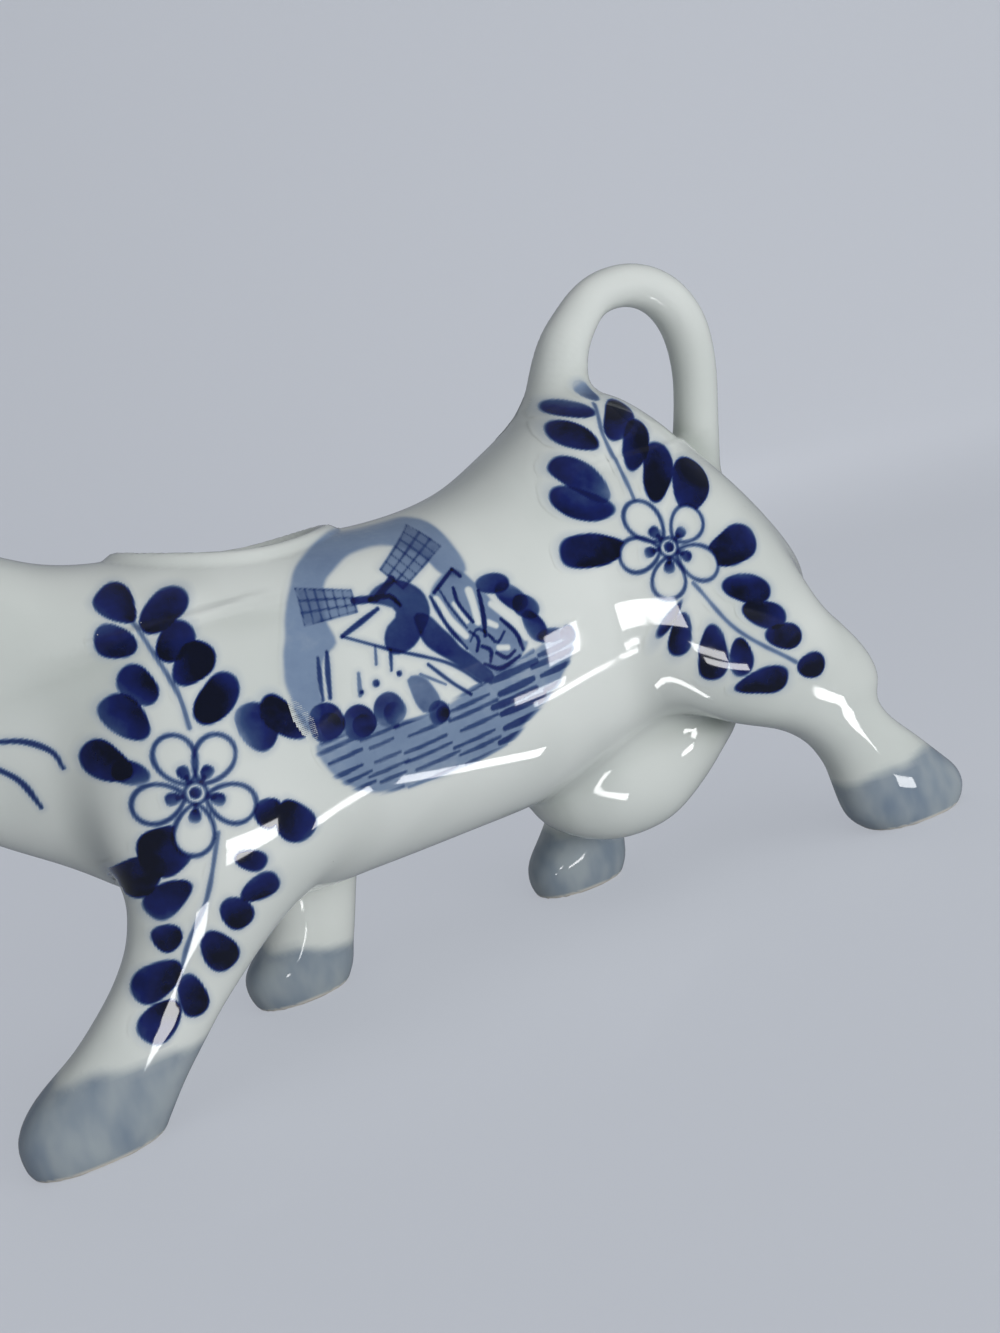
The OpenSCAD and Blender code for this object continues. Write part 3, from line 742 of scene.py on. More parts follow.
def glazedEarthenware(name):
    material, tree = newMaterial(name)
    place = addNode(tree, "ShaderNodeTexCoord").outputs["Object"]  # metres, so a scale is 1 over a size
    noise = {}
    for kind, (size, detail, roughness) in glaze["noises"].items():
        made = addNode(tree, "ShaderNodeTexNoise", {
            "Vector": place, "Scale": 1 / (size * mm), "Detail": detail, "Roughness": roughness})
        noise[kind] = made.outputs["Fac"]
    mark = {}
    for kind in ("pool", "hoofWash", "cobalt", "foot"):
        mark[kind] = addNode(tree, "ShaderNodeAttribute", attribute_name=kind).outputs["Fac"]

    # the glaze itself: cloudy where it is thin or thick, and darker in the creases, partly from its pooling
    # and partly from painted crease shade
    cloud = addNode(tree, "ShaderNodeMapRange", {0: noise["cloud"], 1: 0.4, 2: 0.65})
    # painted shade: creases darken towards the crease grey, partly the glaze's own pooling
    pooledAndShaded = addNode(tree, "ShaderNodeMath", {0: mark["pool"], 1: glaze["poolingAndShade"]}, operation="MULTIPLY")

    # iron specks, in about a quarter of the cells
    cell = addNode(tree, "ShaderNodeTexVoronoi", {"Vector": place, "Scale": 1 / (glaze["speckSpacing"] * mm)})
    reach = glaze["speckSize"] / glaze["speckSpacing"]
    dot = addNode(tree, "ShaderNodeMapRange", {0: cell.outputs["Distance"], 1: reach, 2: reach * 0.4, 4: 0.8})
    lot = addNode(tree, "ShaderNodeSeparateColor", {0: cell.outputs["Color"]})
    chosen = addNode(tree, "ShaderNodeMapRange", {
        0: lot.outputs[0], 1: glaze["speckless"], 2: glaze["speckless"] + 0.02})
    speck = addNode(tree, "ShaderNodeMath", {0: dot.outputs[0], 1: chosen.outputs[0]}, operation="MULTIPLY")

    # hooves: a thin cobalt-grey wash brushed on downwards, so it lies in streaks
    fine = tuple(1 / (size * mm) for size in glaze["streak"])
    stretched = addNode(tree, "ShaderNodeMapping", {"Vector": place, "Scale": fine})
    streaks = addNode(tree, "ShaderNodeTexNoise", {
        "Vector": stretched.outputs[0], "Scale": 1.0, "Detail": 2.5})
    streak = addNode(tree, "ShaderNodeMapRange", {0: streaks.outputs["Fac"], 1: 0.35, 2: 0.7})
    pale, dark = linearColour(glaze["wash"]), linearColour(glaze["washDark"])
    wash = addNode(tree, "ShaderNodeMix", {0: streak.outputs[0], 6: pale, 7: dark}, data_type="RGBA")
    thin = addNode(tree, "ShaderNodeMapRange", {0: streaks.outputs["Fac"], 1: 0.3, 2: 0.65, 3: 0.8, 4: 0.96})
    cover = addNode(tree, "ShaderNodeMath", {0: mark["hoofWash"], 1: thin.outputs[0]}, operation="MULTIPLY")

    # painting: cobalt oxide under the glaze, pale where the brush ran dry and almost black where it pooled
    uneven = 1 - (glaze["grainDepth"] + glaze["blotDepth"]) / 2  # makes up for the means of both noises
    for kind in ("grain", "blot"):
        uneven = addNode(tree, "ShaderNodeMath", {
            0: noise[kind], 1: glaze[kind + "Depth"], 2: uneven}, operation="MULTIPLY_ADD").outputs[0]
    laid = addNode(tree, "ShaderNodeMath", {0: mark["cobalt"], 1: uneven}, operation="MULTIPLY")

    # each colour over what lies under it, and last the sole, which is wiped bare so that the clay shows
    layers = [
        (cloud.outputs[0], linearColour(glaze["cloudy"])),
        (pooledAndShaded.outputs[0], linearColour(glaze["pooledAndShaded"])),
        (speck.outputs[0], linearColour(glaze["speck"])),
        (cover.outputs[0], wash.outputs[2])]
    for low, high, code in glaze["cobalt"]:
        step = addNode(tree, "ShaderNodeMapRange", {0: laid.outputs[0], 1: low, 2: high})
        layers.append((step.outputs[0], linearColour(code)))
    layers.append((mark["foot"], linearColour(glaze["foot"])))
    colour = linearColour(glaze["white"])
    for share, over in layers:
        colour = addNode(tree, "ShaderNodeMix", {0: share, 6: colour, 7: over}, data_type="RGBA").outputs[2]

    smear = addNode(tree, "ShaderNodeMapRange", {
        0: noise["smear"], 1: 0.52, 2: 0.72, 3: glaze["roughness"], 4: glaze["smearRoughness"]})
    rough = addNode(tree, "ShaderNodeMath", {
        0: mark["foot"], 1: 0.5, 2: smear.outputs[0]}, operation="MULTIPLY_ADD")
    wave = addNode(tree, "ShaderNodeBump", {
        "Strength": 1.0, "Distance": glaze["waveDepth"] * mm, "Height": noise["wave"]})
    shader = addNode(tree, "ShaderNodeBsdfPrincipled", {
        "Base Color": colour, "Roughness": rough.outputs[0], "IOR": glaze["ior"], "Normal": wave.outputs[0]})
    addNode(tree, "ShaderNodeOutputMaterial", {"Surface": shader.outputs[0]})
    return material


whiteGlaze = glazedEarthenware("glazedWhiteEarthenware")
hoofGlaze = glazedEarthenware("glazedHoofWash")
cobaltPainting = glazedEarthenware("cobaltUnderglazePainting")


# one object for each luted piece, shaded by the slope of the whole so that the joints show as smooth clay

hoofWash = {
    # how high the wash reaches at the front and at the back of each hoof
    "left_fore": (13.0, 11.2), "right_fore": (11.2, 6.0),
    "left_hind": (10.4, 12.4), "right_hind": (13.0, 6.4),
    "soft": 2.2, "bare": 0.75, "bareSoft": 0.5, "hornLine": 91.5, "hornSoft": 3.0, "hornShare": 0.8,
}


def smoothStep(x):
    x = np.clip(x, 0, 1)
    return x * x * (3 - 2 * x)


def clayPiece(name, points, faces, normals, material, marks):
    label = "".join(word.capitalize() if n else word for n, word in enumerate(name.split("_"))) + "Clay"
    mesh = bpy.data.meshes.new(label)
    mesh.from_pydata((points * mm).tolist(), [], [list(dict.fromkeys(face)) for face in faces.tolist()])
    mesh.shade_smooth()
    for key, values in marks.items():
        mesh.attributes.new(key, "FLOAT", "POINT").data.foreach_set("value", values.astype(np.float32))
    mesh.normals_split_custom_set_from_vertices(normals.tolist())
    mesh.materials.append(material)
    piece = bpy.data.objects.new(label, mesh)
    bpy.context.scene.collection.objects.link(piece)
    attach(piece, "root")
    return piece


def poolingAndShade(points, normals):
    # how far the glaze had to fill a crease, which also sets the painted crease shade: the clay comes near
    # again a little way out
    poolAndShadeAmount = np.zeros(len(points))
    for reach, share in glaze["creaseReaches"]:
        poolAndShadeAmount += share * np.clip((reach - clayField(points + reach * normals)) / reach, 0, 1)
    return np.clip(poolAndShadeAmount, 0, 1)


def makePieces():
    # painted crease shade, partly the glaze's pooling, measured for every skin point
    pool = poolingAndShade(skinPoints, skinNormals)
    for number, name in enumerate(pieceOrder, 1):
        turned = skinQuads[skinOuter == number][:, [0, 3, 2, 1]]
        own = np.concatenate([skinQuads[skinInner == number], turned])
        used, faces = np.unique(own, return_inverse=True)
        points, normals = skinPoints[used], skinNormals[used]
        wash = np.zeros(len(points))
        foot = np.zeros(len(points))
        leg = name.rsplit("_", 1)[0]
        if leg in legTables:
            middle, half = readRows(legTables[leg], 8.0)[:2]
            front, back = hoofWash[leg]
            line = front + (back - front) * np.clip((points[:, 0] - middle + half) / (2 * half), 0, 1)
            line = line + 0.3 * np.sin(points[:, 0] * 0.7) + 0.25 * np.sin(points[:, 1] * 0.9 + 1)
            wash = smoothStep((line - points[:, 2]) / hoofWash["soft"] + 0.5)
            foot = smoothStep((hoofWash["bare"] - points[:, 2]) / hoofWash["bareSoft"])
        if name.endswith("horn"):
            over = (points[:, 2] - hoofWash["hornLine"]) / hoofWash["hornSoft"]
            wash = hoofWash["hornShare"] * smoothStep(over)
        material, slot = (hoofGlaze, "hoof_glaze") if name.endswith("hoof") else (whiteGlaze, "white_glaze")
        piece = clayPiece(name, points, faces.reshape(-1, 4), normals, material,
                          {"pool": pool[used], "hoofWash": wash, "foot": foot})
        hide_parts(name)
    print("pieces", len(pieceOrder))


makePieces()


# painting: cobalt strokes drawn in side view, along and up in millimetres, on sheets that lie on the glaze

painting = {
    "lift": 0.05,  # millimetres above the skin
    "sprayStep": 0.27, "viewStep": 0.21,
    "edge": 0.34, "bleed": 0.07, "bleedReach": 0.55, "layered": 0.45,
    "wobble": 0.1, "wobbleSize": 1.5,
    "leap": 3.5, "runsOut": (0.1, 0.24), "least": 0.012,
    "outside": 45.0, "inside": 14.0,  # where rays start, and where the nearest skin is looked for
}
skinTree = BVHTree.FromPolygons(skinPoints.tolist(), skinQuads[(skinInner == 0) | (skinOuter == 0)].tolist())


def onFlank(flat, side):
    # the places on the skin straight in from the side, and which of them were met
    found = np.empty((len(flat), 3))
    met = np.ones(len(flat), bool)
    inward = Vector((0, -side, 0))
    for n, (x, z) in enumerate(flat.tolist()):
        hit = skinTree.ray_cast(Vector((x, side * painting["outside"], z)), inward, painting["outside"])[0]
        if hit is None:
            hit = skinTree.find_nearest(Vector((x, side * painting["inside"], z)))[0]
            met[n] = False
        found[n] = hit
    points = toSkin(found)
    normals = unitSlope(points, skinning["shadeReach"])
    # in a hollow the clay's own faces stand out, and a stroke lies on them
    proud = np.maximum(((found - points) * normals).sum(1), 0)
    return points + normals * proud[:, None], normals, met


def smoothLine(points, gap, closed=False):
    # evenly spaced points on a smooth curve through a few given ones
    given = np.array(points, float)
    if closed:
        given = np.concatenate([given[-2:], given, given[:3]])
    else:
        given = np.concatenate([2 * given[:1] - given[1:2], given, 2 * given[-1:] - given[-2:-1]])
    first = 2 if closed else 1
    last = len(given) - 1 - first
    fine = []
    for i in range(first, last):
        a, b, c, d = given[i - 1:i + 3]
        bend = 2 * a - 5 * b + 4 * c - d
        for t in np.linspace(0, 1, 12, endpoint=False):
            fine.append(0.5 * (2 * b + (c - a) * t + bend * t**2 + (3 * b - a - 3 * c + d) * t**3))
    fine.append(fine[0] if closed else given[last])
    fine = np.array(fine)
    run = np.concatenate([[0], np.cumsum(np.linalg.norm(np.diff(fine, axis=0), axis=1))])
    count = max(3, int(run[-1] / gap) + 1)
    at = np.linspace(0, run[-1], count)
    return np.stack([np.interp(at, run, fine[:, 0]), np.interp(at, run, fine[:, 1])], 1)


def newSheet(low, high, step):
    x, z = np.meshgrid(np.arange(low[0], high[0], step), np.arange(low[1], high[1], step), indexing="ij")
    return {"x": x, "z": z, "tone": np.zeros(x.shape), "low": np.array(low), "step": step}


def windowRound(sheet, points, margin):
    points = np.array(points)
    first = np.maximum(((points.min(0) - margin - sheet["low"]) / sheet["step"]).astype(int), 0)
    last = np.maximum(((points.max(0) + margin - sheet["low"]) / sheet["step"]).astype(int) + 2, 0)
    where = (slice(first[0], last[0]), slice(first[1], last[1]))
    return where, sheet["x"][where], sheet["z"][where]


def handWobble(x, z):
    # the unevenness of the hand, the same in every run
    size = painting["wobbleSize"]
    return (np.sin(x * 1.7 / size + 1.3 * np.sin(z * 1.1 / size))
            + np.sin(z * 2.1 / size + 0.7 + 1.1 * np.sin(x * 0.9 / size))) / 2



def layTone(sheet, where, away, tone, soft):
    # colour over colour gets darker, and a tone under 0 is glaze left white
    cover = smoothStep(0.5 - away / soft)
    old = sheet["tone"][where]
    if np.ndim(tone) == 0 and tone < 0:
        sheet["tone"][where] = old * (1 + tone * cover)
        return
    bleed = painting["bleed"] * np.exp(-(np.maximum(away, 0) / painting["bleedReach"]) ** 2)
    added = np.maximum(tone * cover, bleed * np.minimum(1, 2 * np.mean(tone)))
    darker = painting["layered"] * np.minimum(old, added) * cover
    sheet["tone"][where] = np.clip(np.maximum(old, added) + darker, 0, 1)


def fromStroke(x, z, a, b):
    # how far each place of a sheet lies from the line between two points
    run = b - a
    t = np.clip(((x - a[0]) * run[0] + (z - a[1]) * run[1]) / max(run @ run, 1e-9), 0, 1)
    return np.hypot(x - a[0] - t * run[0], z - a[1] - t * run[1])


def drawLine(sheet, points, width, tone, closed=False, soft=None, taper=0.0):
    line = smoothLine(points, 0.6, closed)
    where, x, z = windowRound(sheet, line, width + 1.2)
    away = np.full(x.shape, 9.0)
    for n, (a, b) in enumerate(zip(line[:-1], line[1:])):
        half = width / 2 * (1 - taper * (2 * (n + 0.5) / (len(line) - 1) - 1) ** 2)
        away = np.minimum(away, fromStroke(x, z, a, b) - half)
    layTone(sheet, where, away + 0.5 * painting["wobble"] * handWobble(x, z), tone, soft or painting["edge"])


def drawLeaf(sheet, baseX, baseZ, tipX, tipZ, width, tone, bend=0.0, egg=0.2):
    # one pressed brush stroke: an egg with its broad end out, darkest where the brush let its colour go
    base, tip = np.array((baseX, baseZ)), np.array((tipX, tipZ))
    middle = (base + tip) / 2
    length = np.linalg.norm(tip - base)
    d = (tip - base) / length
    heavy = (baseX * 12.9898 + tipZ * 78.233) % (2 * math.pi)
    where, x, z = windowRound(sheet, [base, tip], width * 0.6 + 1.5)
    u = ((x - middle[0]) * d[0] + (z - middle[1]) * d[1]) / (length / 2)
    v = (z - middle[1]) * d[0] - (x - middle[0]) * d[1] - bend * length * (u * u - 0.5) * 0.5
    v = v / (width / 2 * (1 + egg * np.clip(u, -1, 1)))
    q = (np.abs(u) ** 2.2 + np.abs(v) ** 2.2) ** (1 / 2.2)
    uneven = handWobble(x, z)
    shade = tone + 0.2 * (u * math.cos(heavy) + v * math.sin(heavy))
    shade = shade + 0.06 * uneven - 0.1 * np.clip(q, 0, 1) ** 4
    away = (q - 1) * width / 2 + painting["wobble"] * uneven
    layTone(sheet, where, away, np.clip(shade, 0.12, 1), painting["edge"])


def drawWash(sheet, outline, tone, soft=0.7, smooth=True):
    # a broad wash inside an outline
    edge = smoothLine(outline, 0.9, closed=True)[:-1] if smooth else np.array(outline, float)
    where, x, z = windowRound(sheet, edge, soft + 1)
    near = np.full(x.shape, 1e3)
    inside = np.zeros(x.shape, bool)
    for a, b in zip(edge, np.roll(edge, -1, 0)):
        near = np.minimum(near, fromStroke(x, z, a, b))
        crossed = (a[1] > z) != (b[1] > z)
        inside ^= crossed & (x < a[0] + (b[0] - a[0]) * (z - a[1]) / ((b[1] - a[1]) or 1e-9))
    away = np.where(inside, -near, near) + painting["wobble"] * handWobble(x, z)
    layTone(sheet, where, away, tone * (1 + 0.12 * handWobble(x / 3, z / 3)) if tone > 0 else tone, soft)


def laySheet(name, sheet, side, fit=None):
    # the painted part of a sheet, settled on the skin as one thin piece
    tone = sheet["tone"]
    full = np.maximum(np.maximum(tone[:-1, :-1], tone[1:, :-1]), np.maximum(tone[1:, 1:], tone[:-1, 1:]))
    number = np.arange(tone.size).reshape(tone.shape)
    quads = np.stack([number[:-1, :-1], number[1:, :-1], number[1:, 1:], number[:-1, 1:]], -1)
    used, faces = np.unique(quads[full > painting["least"]], return_inverse=True)
    faces = faces.reshape(-1, 4)
    flat = np.stack([sheet["x"].ravel()[used], sheet["z"].ravel()[used]], 1)
    shade = tone.ravel()[used]
    if fit is not None:
        flat = fit(flat)
    points, normals, met = onFlank(flat, side)
    a, b, c, d = (points[faces[:, n]] for n in range(4))
    back = (np.cross(b - a, c - a) * normals[faces[:, 0]]).sum(1) < 0
    faces[back] = faces[back][:, ::-1]
    # a stroke runs out where the clay turns away, and a face that would leap over an edge is left out
    start, end = painting["runsOut"]
    shade = shade * smoothStep((side * normals[:, 1] - start) / (end - start))
    leap = np.maximum(np.linalg.norm(c - a, axis=1), np.linalg.norm(d - b, axis=1))
    faces = faces[met[faces].all(1) & (leap < painting["leap"]) & (shade[faces].max(1) > painting["least"])]
    used, faces = np.unique(faces, return_inverse=True)
    faces = faces.reshape(-1, 4)
    points, normals, shade = points[used], normals[used], shade[used]
    points = points + normals * painting["lift"]
    # the paint gets the same painted crease shade as the glaze
    clayPiece(name, points, faces, normals, cobaltPainting,
              {"cobalt": shade, "pool": poolingAndShade(points, normals)})


shoulderSpray = {
    "low": (-57.0, 13.0), "high": (-19.0, 79.0),
    "leaves": [
        (-38.0, 70.6, -40.4, 76.0, 5.0, 0.86, 0, 0.45), (-37.4, 69.1, -30.1, 73.0, 4.2, 0.9, -0.04, 0.1),
        (-38.9, 67.3, -43.7, 70.1, 4.4, 0.84), (-36.5, 64.9, -31.2, 68.5, 4.3, 0.88, 0, 0.1),
        (-35.5, 61.4, -29.9, 65.0, 4.6, 0.97), (-39.0, 59.9, -41.9, 65.0, 4.5, 0.8, 0, 0.1),
        (-34.4, 55.5, -28.1, 60.2, 4.7, 0.98, 0, 0.05), (-41.5, 55.6, -45.1, 61.8, 4.9, 0.8, 0.06),
        (-45.0, 51.0, -49.5, 56.2, 4.8, 0.92, -0.1, 0.25), (-42.6, 50.2, -46.8, 52.6, 3.2, 0.6),
        (-26.4, 49.2, -27.9, 56.0, 5.4, 0.66, 0.08, 0.1), (-20.7, 49.3, -25.6, 55.8, 4.3, 1.0, -0.08, 0.2),
        (-31.0, 41.8, -27.6, 40.0, 4.0, 0.92, 0.1), (-27.2, 41.4, -24.2, 35.4, 5.2, 0.88, 0.2),
        (-40.0, 41.6, -46.8, 38.6, 6.8, 0.9, 0.05), (-44.6, 39.4, -50.4, 35.6, 5.2, 0.94, 0.1),
        (-41.9, 34.8, -48.2, 31.9, 4.4, 0.86, 0.08), (-35.0, 36.4, -31.2, 33.8, 2.9, 0.9),
        (-35.7, 30.3, -30.0, 31.2, 3.8, 0.84), (-38.1, 30.8, -35.8, 26.0, 4.2, 0.9),
        (-44.6, 28.5, -48.5, 27.5, 3.8, 0.94), (-41.8, 26.9, -39.2, 20.6, 4.6, 0.92, 0.1),
        (-46.0, 23.9, -53.0, 21.0, 4.7, 0.9), (-45.8, 21.9, -45.5, 15.4, 3.9, 0.92),
        (-47.9, 18.6, -53.6, 14.9, 5.0, 0.86)],
    "flower": (-37.7, 46.6),
    "petals": [(-39.6, 55.0), (-31.8, 52.8), (-30.7, 41.9), (-40.4, 38.3), (-46.1, 46.7)],
    "stems": [[(-38.3, 71.2), (-37.4, 67.2), (-35.9, 60.2), (-35.9, 55.2)],
              [(-36.4, 40.4), (-40.2, 32.0), (-44.1, 26.6), (-47.2, 20.9)]],
}
haunchSpray = {
    "low": (20.0, 28.0), "high": (69.0, 90.0),
    "leaves": [
        (43.2, 83.8, 42.7, 87.8, 3.3, 0.36), (41.2, 81.9, 35.2, 85.3, 3.2, 0.7),
        (38.4, 77.0, 33.2, 81.7, 4.4, 0.9), (40.5, 77.3, 47.3, 82.6, 4.3, 0.9),
        (41.2, 72.1, 47.2, 79.0, 4.1, 0.94), (43.0, 66.5, 48.4, 74.9, 4.9, 0.97),
        (47.6, 63.9, 53.5, 70.8, 6.8, 0.92), (36.4, 68.6, 30.6, 76.6, 4.9, 0.7, 0.12),
        (36.6, 66.6, 27.7, 71.6, 4.8, 0.74, -0.1), (36.4, 60.9, 25.6, 62.9, 5.2, 0.98),
        (48.9, 55.6, 59.4, 56.9, 5.8, 0.94), (50.0, 51.1, 58.5, 47.5, 4.5, 0.9),
        (52.5, 46.4, 60.0, 42.4, 4.2, 0.9), (55.4, 41.2, 62.2, 38.9, 4.1, 0.9),
        (60.2, 34.4, 65.5, 33.2, 4.2, 0.97), (42.5, 48.7, 40.4, 42.0, 3.5, 0.85),
        (46.5, 45.6, 45.5, 36.6, 4.7, 0.9), (50.6, 42.2, 50.2, 35.8, 4.0, 0.8),
        (48.8, 34.4, 58.2, 33.4, 4.3, 0.94, -0.06, 0.35), (42.6, 50.4, 37.8, 45.8, 1.7, 0.8)],
    "flower": (43.0, 59.1),
    "petals": [(38.8, 67.1), (49.8, 63.4), (49.9, 53.3), (40.8, 51.3), (35.0, 59.4)],
    "stems": [[(42.0, 83.4), (40.0, 78.7), (39.8, 73.7), (40.2, 67.4)],
              [(45.3, 52.7), (50.7, 43.4), (60.1, 35.2)]],
}
flower = {
    "petalWidth": 6.1, "ring": 1.5, "dot": 0.8, "line": 0.62, "lineTone": 0.52, "stem": 0.62, "stemTone": 0.4,
    "root": 0.7, "rootTone": 0.58, "stamen": (2.5, 1.7, 0.6), "ringLine": 0.56, "ringTone": 0.5,
    "dotTone": 0.74,
}


def petalOutline(centre, d, length):
    n = np.array((-d[1], d[0]))
    outline = []
    for a in np.linspace(0.16, 2 * math.pi - 0.16, 17):
        along = flower["ring"] + (length - flower["ring"]) * (0.5 - 0.5 * math.cos(a))
        out = flower["petalWidth"] / 2 * math.sin(a) * abs(math.sin(a / 2)) ** 0.4
        outline.append(centre + d * along + n * out)
    return outline


def drawSpray(spray):
    sheet = newSheet(spray["low"], spray["high"], painting["sprayStep"])
    for stem in spray["stems"]:
        drawLine(sheet, stem, flower["stem"], flower["stemTone"], soft=0.5)
    for leaf in spray["leaves"]:
        drawLeaf(sheet, *leaf)
    centre = np.array(spray["flower"])
    petals = []
    for tip in spray["petals"]:
        run = np.array(tip) - centre
        length = np.linalg.norm(run)
        petals.append((run / length, petalOutline(centre, run / length, length)))
        drawWash(sheet, petals[-1][1], -1.0, 0.4)
    stamenLength, stamenWidth, stamenTone = flower["stamen"]
    for d, outline in petals:
        drawLine(sheet, outline, flower["line"], flower["lineTone"], soft=0.45)
        root = centre + d * (flower["ring"] + 0.1)
        drawLine(sheet, [root, root + d * 0.8], flower["root"], flower["rootTone"])
        drawLeaf(sheet, *(root + d * 0.4), *(root + d * stamenLength), stamenWidth, stamenTone)
    turns = np.linspace(0, 2 * math.pi, 9)[:-1]
    ring = [centre + flower["ring"] * np.array((math.cos(a), math.sin(a))) for a in turns]
    drawWash(sheet, ring, -1.0, 0.4)
    drawLine(sheet, ring, flower["ringLine"], flower["ringTone"], closed=True, soft=0.4)
    x, z = centre
    drawLeaf(sheet, x, z - flower["dot"], x, z + flower["dot"], 2 * flower["dot"], flower["dotTone"], 0, 0)
    return sheet


# a view across water, of the common kind: a mill, a barn, bushes on the bank and a ruled shore

view = {
    "low": (-24.0, 34.0), "high": (27.0, 77.5),
    "cloud": [(-12.6, 60.2), (-12.8, 63.5), (-11.2, 67.8), (-7.3, 70.4), (-1.9, 71.4), (3.4, 69.9),
              (5.4, 67.4), (6.9, 64.4), (10.4, 64.6), (10.0, 70.6), (8.0, 73.9), (1.5, 75.2), (-6.3, 74.7),
              (-13.1, 71.9), (-17.3, 67.4), (-19.4, 63.0), (-21.2, 58.9), (-21.6, 54.0), (-20.6, 49.6),
              (-17.8, 50.4), (-16.8, 55.0), (-15.2, 58.4)],
    "water": [(-20.0, 47.5), (-17.9, 41.6), (-12.5, 37.6), (-3.0, 36.6), (7.4, 37.6), (13.2, 40.4),
              (19.7, 44.6), (23.6, 49.4), (21.6, 52.0), (16.5, 50.4), (9.0, 49.0), (4.0, 47.8),
              (-1.0, 46.6), (-6.0, 46.8), (-13.0, 47.8)],
    "bushes": [(-17.6, 50.2, 2.7, 0.68), (-13.0, 48.6, 2.5, 0.66), (-8.2, 49.0, 2.4, 0.54),
               (-1.0, 46.2, 1.7, 0.6)],
    "trees": [(10.6, 62.1, 16.0, 61.2, 3.0, 0.66), (13.6, 61.0, 17.4, 57.0, 3.4, 0.62),
              (15.6, 58.6, 19.0, 55.2, 3.4, 0.68), (16.8, 56.4, 18.6, 51.2, 3.2, 0.66),
              (17.4, 51.9, 22.4, 51.2, 2.2, 0.56), (21.6, 50.4, 24.2, 51.2, 2.9, 0.5)],
    "rippleRows": 9, "rippleGap": 1.8,
    "ripples": [(-19.6, -13.4, 0.85, 0.5), (-12.6, -8.0, 0.8, 0.47), (-7.2, 0.0, 0.8, 0.48),
                (0.8, 7.8, 0.85, 0.5), (8.4, 15.8, 1.3, 0.6), (16.4, 22.4, 1.1, 0.56)],
    "hub": (-4.6, 64.4),
    "sails": [((-15.6, 66.3), 2.6, 0.6), ((7.4, 70.8), 2.3, 0.25)],
    "cap": [(-6.0, 64.2), (-4.4, 65.7), (-1.7, 66.2), (0.9, 65.3), (2.6, 63.0), (2.0, 59.8), (-0.4, 57.6),
            (-2.6, 56.2), (-5.0, 56.2), (-5.9, 58.0), (-4.8, 60.2), (-2.8, 61.2), (-2.6, 62.4),
            (-4.0, 63.2)],
    "roof": [(-0.4, 60.4), (2.0, 60.0), (5.0, 54.6), (9.0, 49.2), (7.4, 48.0), (3.4, 52.4), (0.2, 55.8)],
    "barn": [(3.4, 62.8), (8.2, 65.4), (10.6, 63.0), (12.8, 58.2), (16.0, 52.2), (11.2, 48.2), (8.4, 49.6),
             (5.4, 54.6), (3.6, 58.6)],
    "whites": [  # places in the barn where the glaze stays bare, each a line with its width
        ([(4.0, 61.8), (4.9, 58.4), (6.4, 55.6)], 1.15), ([(6.4, 60.4), (7.3, 57.6)], 0.9),
        ([(9.4, 61.6), (9.0, 57.0)], 1.2), ([(12.0, 58.8), (14.4, 55.4), (15.8, 52.6)], 1.1),
        ([(10.6, 56.4), (11.6, 55.6)], 0.9), ([(11.0, 52.4), (12.4, 52.0)], 0.9)],
    "arm": ([(-5.6, 64.4), (-2.6, 64.2), (-1.6, 62.6)], 0.9, 0.8, 0.4),
    "thinLines": [  # the barn's gable and the mill's stage: each line with its width, tone and taper
        ([(-11.5, 60.8), (-8.6, 61.8), (-5.0, 63.0)], 0.75, 0.66),
        ([(-11.5, 60.8), (-5.6, 57.2), (2.4, 52.7), (6.6, 48.4)], 0.5, 0.56),
        ([(-0.6, 53.4), (2.0, 50.0), (4.6, 47.2)], 0.55, 0.6), ([(-7.4, 58.2), (-8.1, 55.7)], 0.42, 0.42),
        ([(-5.4, 57.0), (-6.2, 54.2)], 0.5, 0.56), ([(-2.2, 52.4), (1.2, 49.8)], 0.4, 0.4),
        ([(4.1, 62.8), (8.3, 65.2)], 0.7, 0.66), ([(8.3, 65.2), (9.0, 64.0)], 0.7, 0.62),
        ([(3.3, 62.4), (4.1, 57.9), (6.0, 53.8)], 0.6, 0.58),
        ([(5.0, 63.2), (5.6, 60.2), (7.0, 56.6)], 0.5, 0.5),
        ([(7.2, 62.6), (7.0, 60.4), (8.2, 57.2)], 0.7, 0.62),
        ([(10.8, 61.2), (10.2, 57.8), (9.4, 54.7)], 0.75, 0.66),
        ([(12.7, 56.3), (14.4, 53.6), (14.8, 51.0)], 0.7, 0.66),
        ([(7.2, 56.0), (8.2, 54.6), (7.4, 53.0)], 0.6, 0.6),
        ([(8.4, 53.4), (9.6, 52.4), (9.0, 50.8)], 0.65, 0.6),
        ([(10.0, 54.6), (11.0, 53.2), (12.6, 54.4)], 0.6, 0.6),
        ([(10.4, 51.8), (11.8, 50.6), (13.4, 51.2)], 0.65, 0.62),
        ([(8.0, 50.8), (10.4, 49.4), (14.0, 50.2)], 0.75, 0.62),
        ([(6.8, 54.6), (8.6, 56.0), (10.6, 54.0)], 0.5, 0.5),
        ([(-15.9, 59.0), (-16.6, 56.0), (-17.1, 53.2)], 0.7, 0.5),
        ([(-14.4, 59.4), (-15.2, 56.6), (-16.0, 53.2)], 0.8, 0.56),
        ([(-11.0, 55.2), (-11.7, 52.2)], 0.7, 0.34)],
    "lineTaper": 0.25,
    "dots": [(-5.2, 53.5, 0.95), (-9.0, 53.2, 1.1), (-11.4, 52.6, 0.7)],
    "millFoot": [(-4.4, 52.2), (-1.6, 51.6), (-0.4, 47.6), (-3.4, 47.0)],
    "tones": {  # of each wash, and how softly it ends
        "cloud": (0.24, 0.9), "water": (0.23, 0.9), "barn": (0.3, 0.8),
        "cap": (0.58, 0.45), "roof": (0.56, 0.45), "millFoot": (0.42, 0.5)},
}


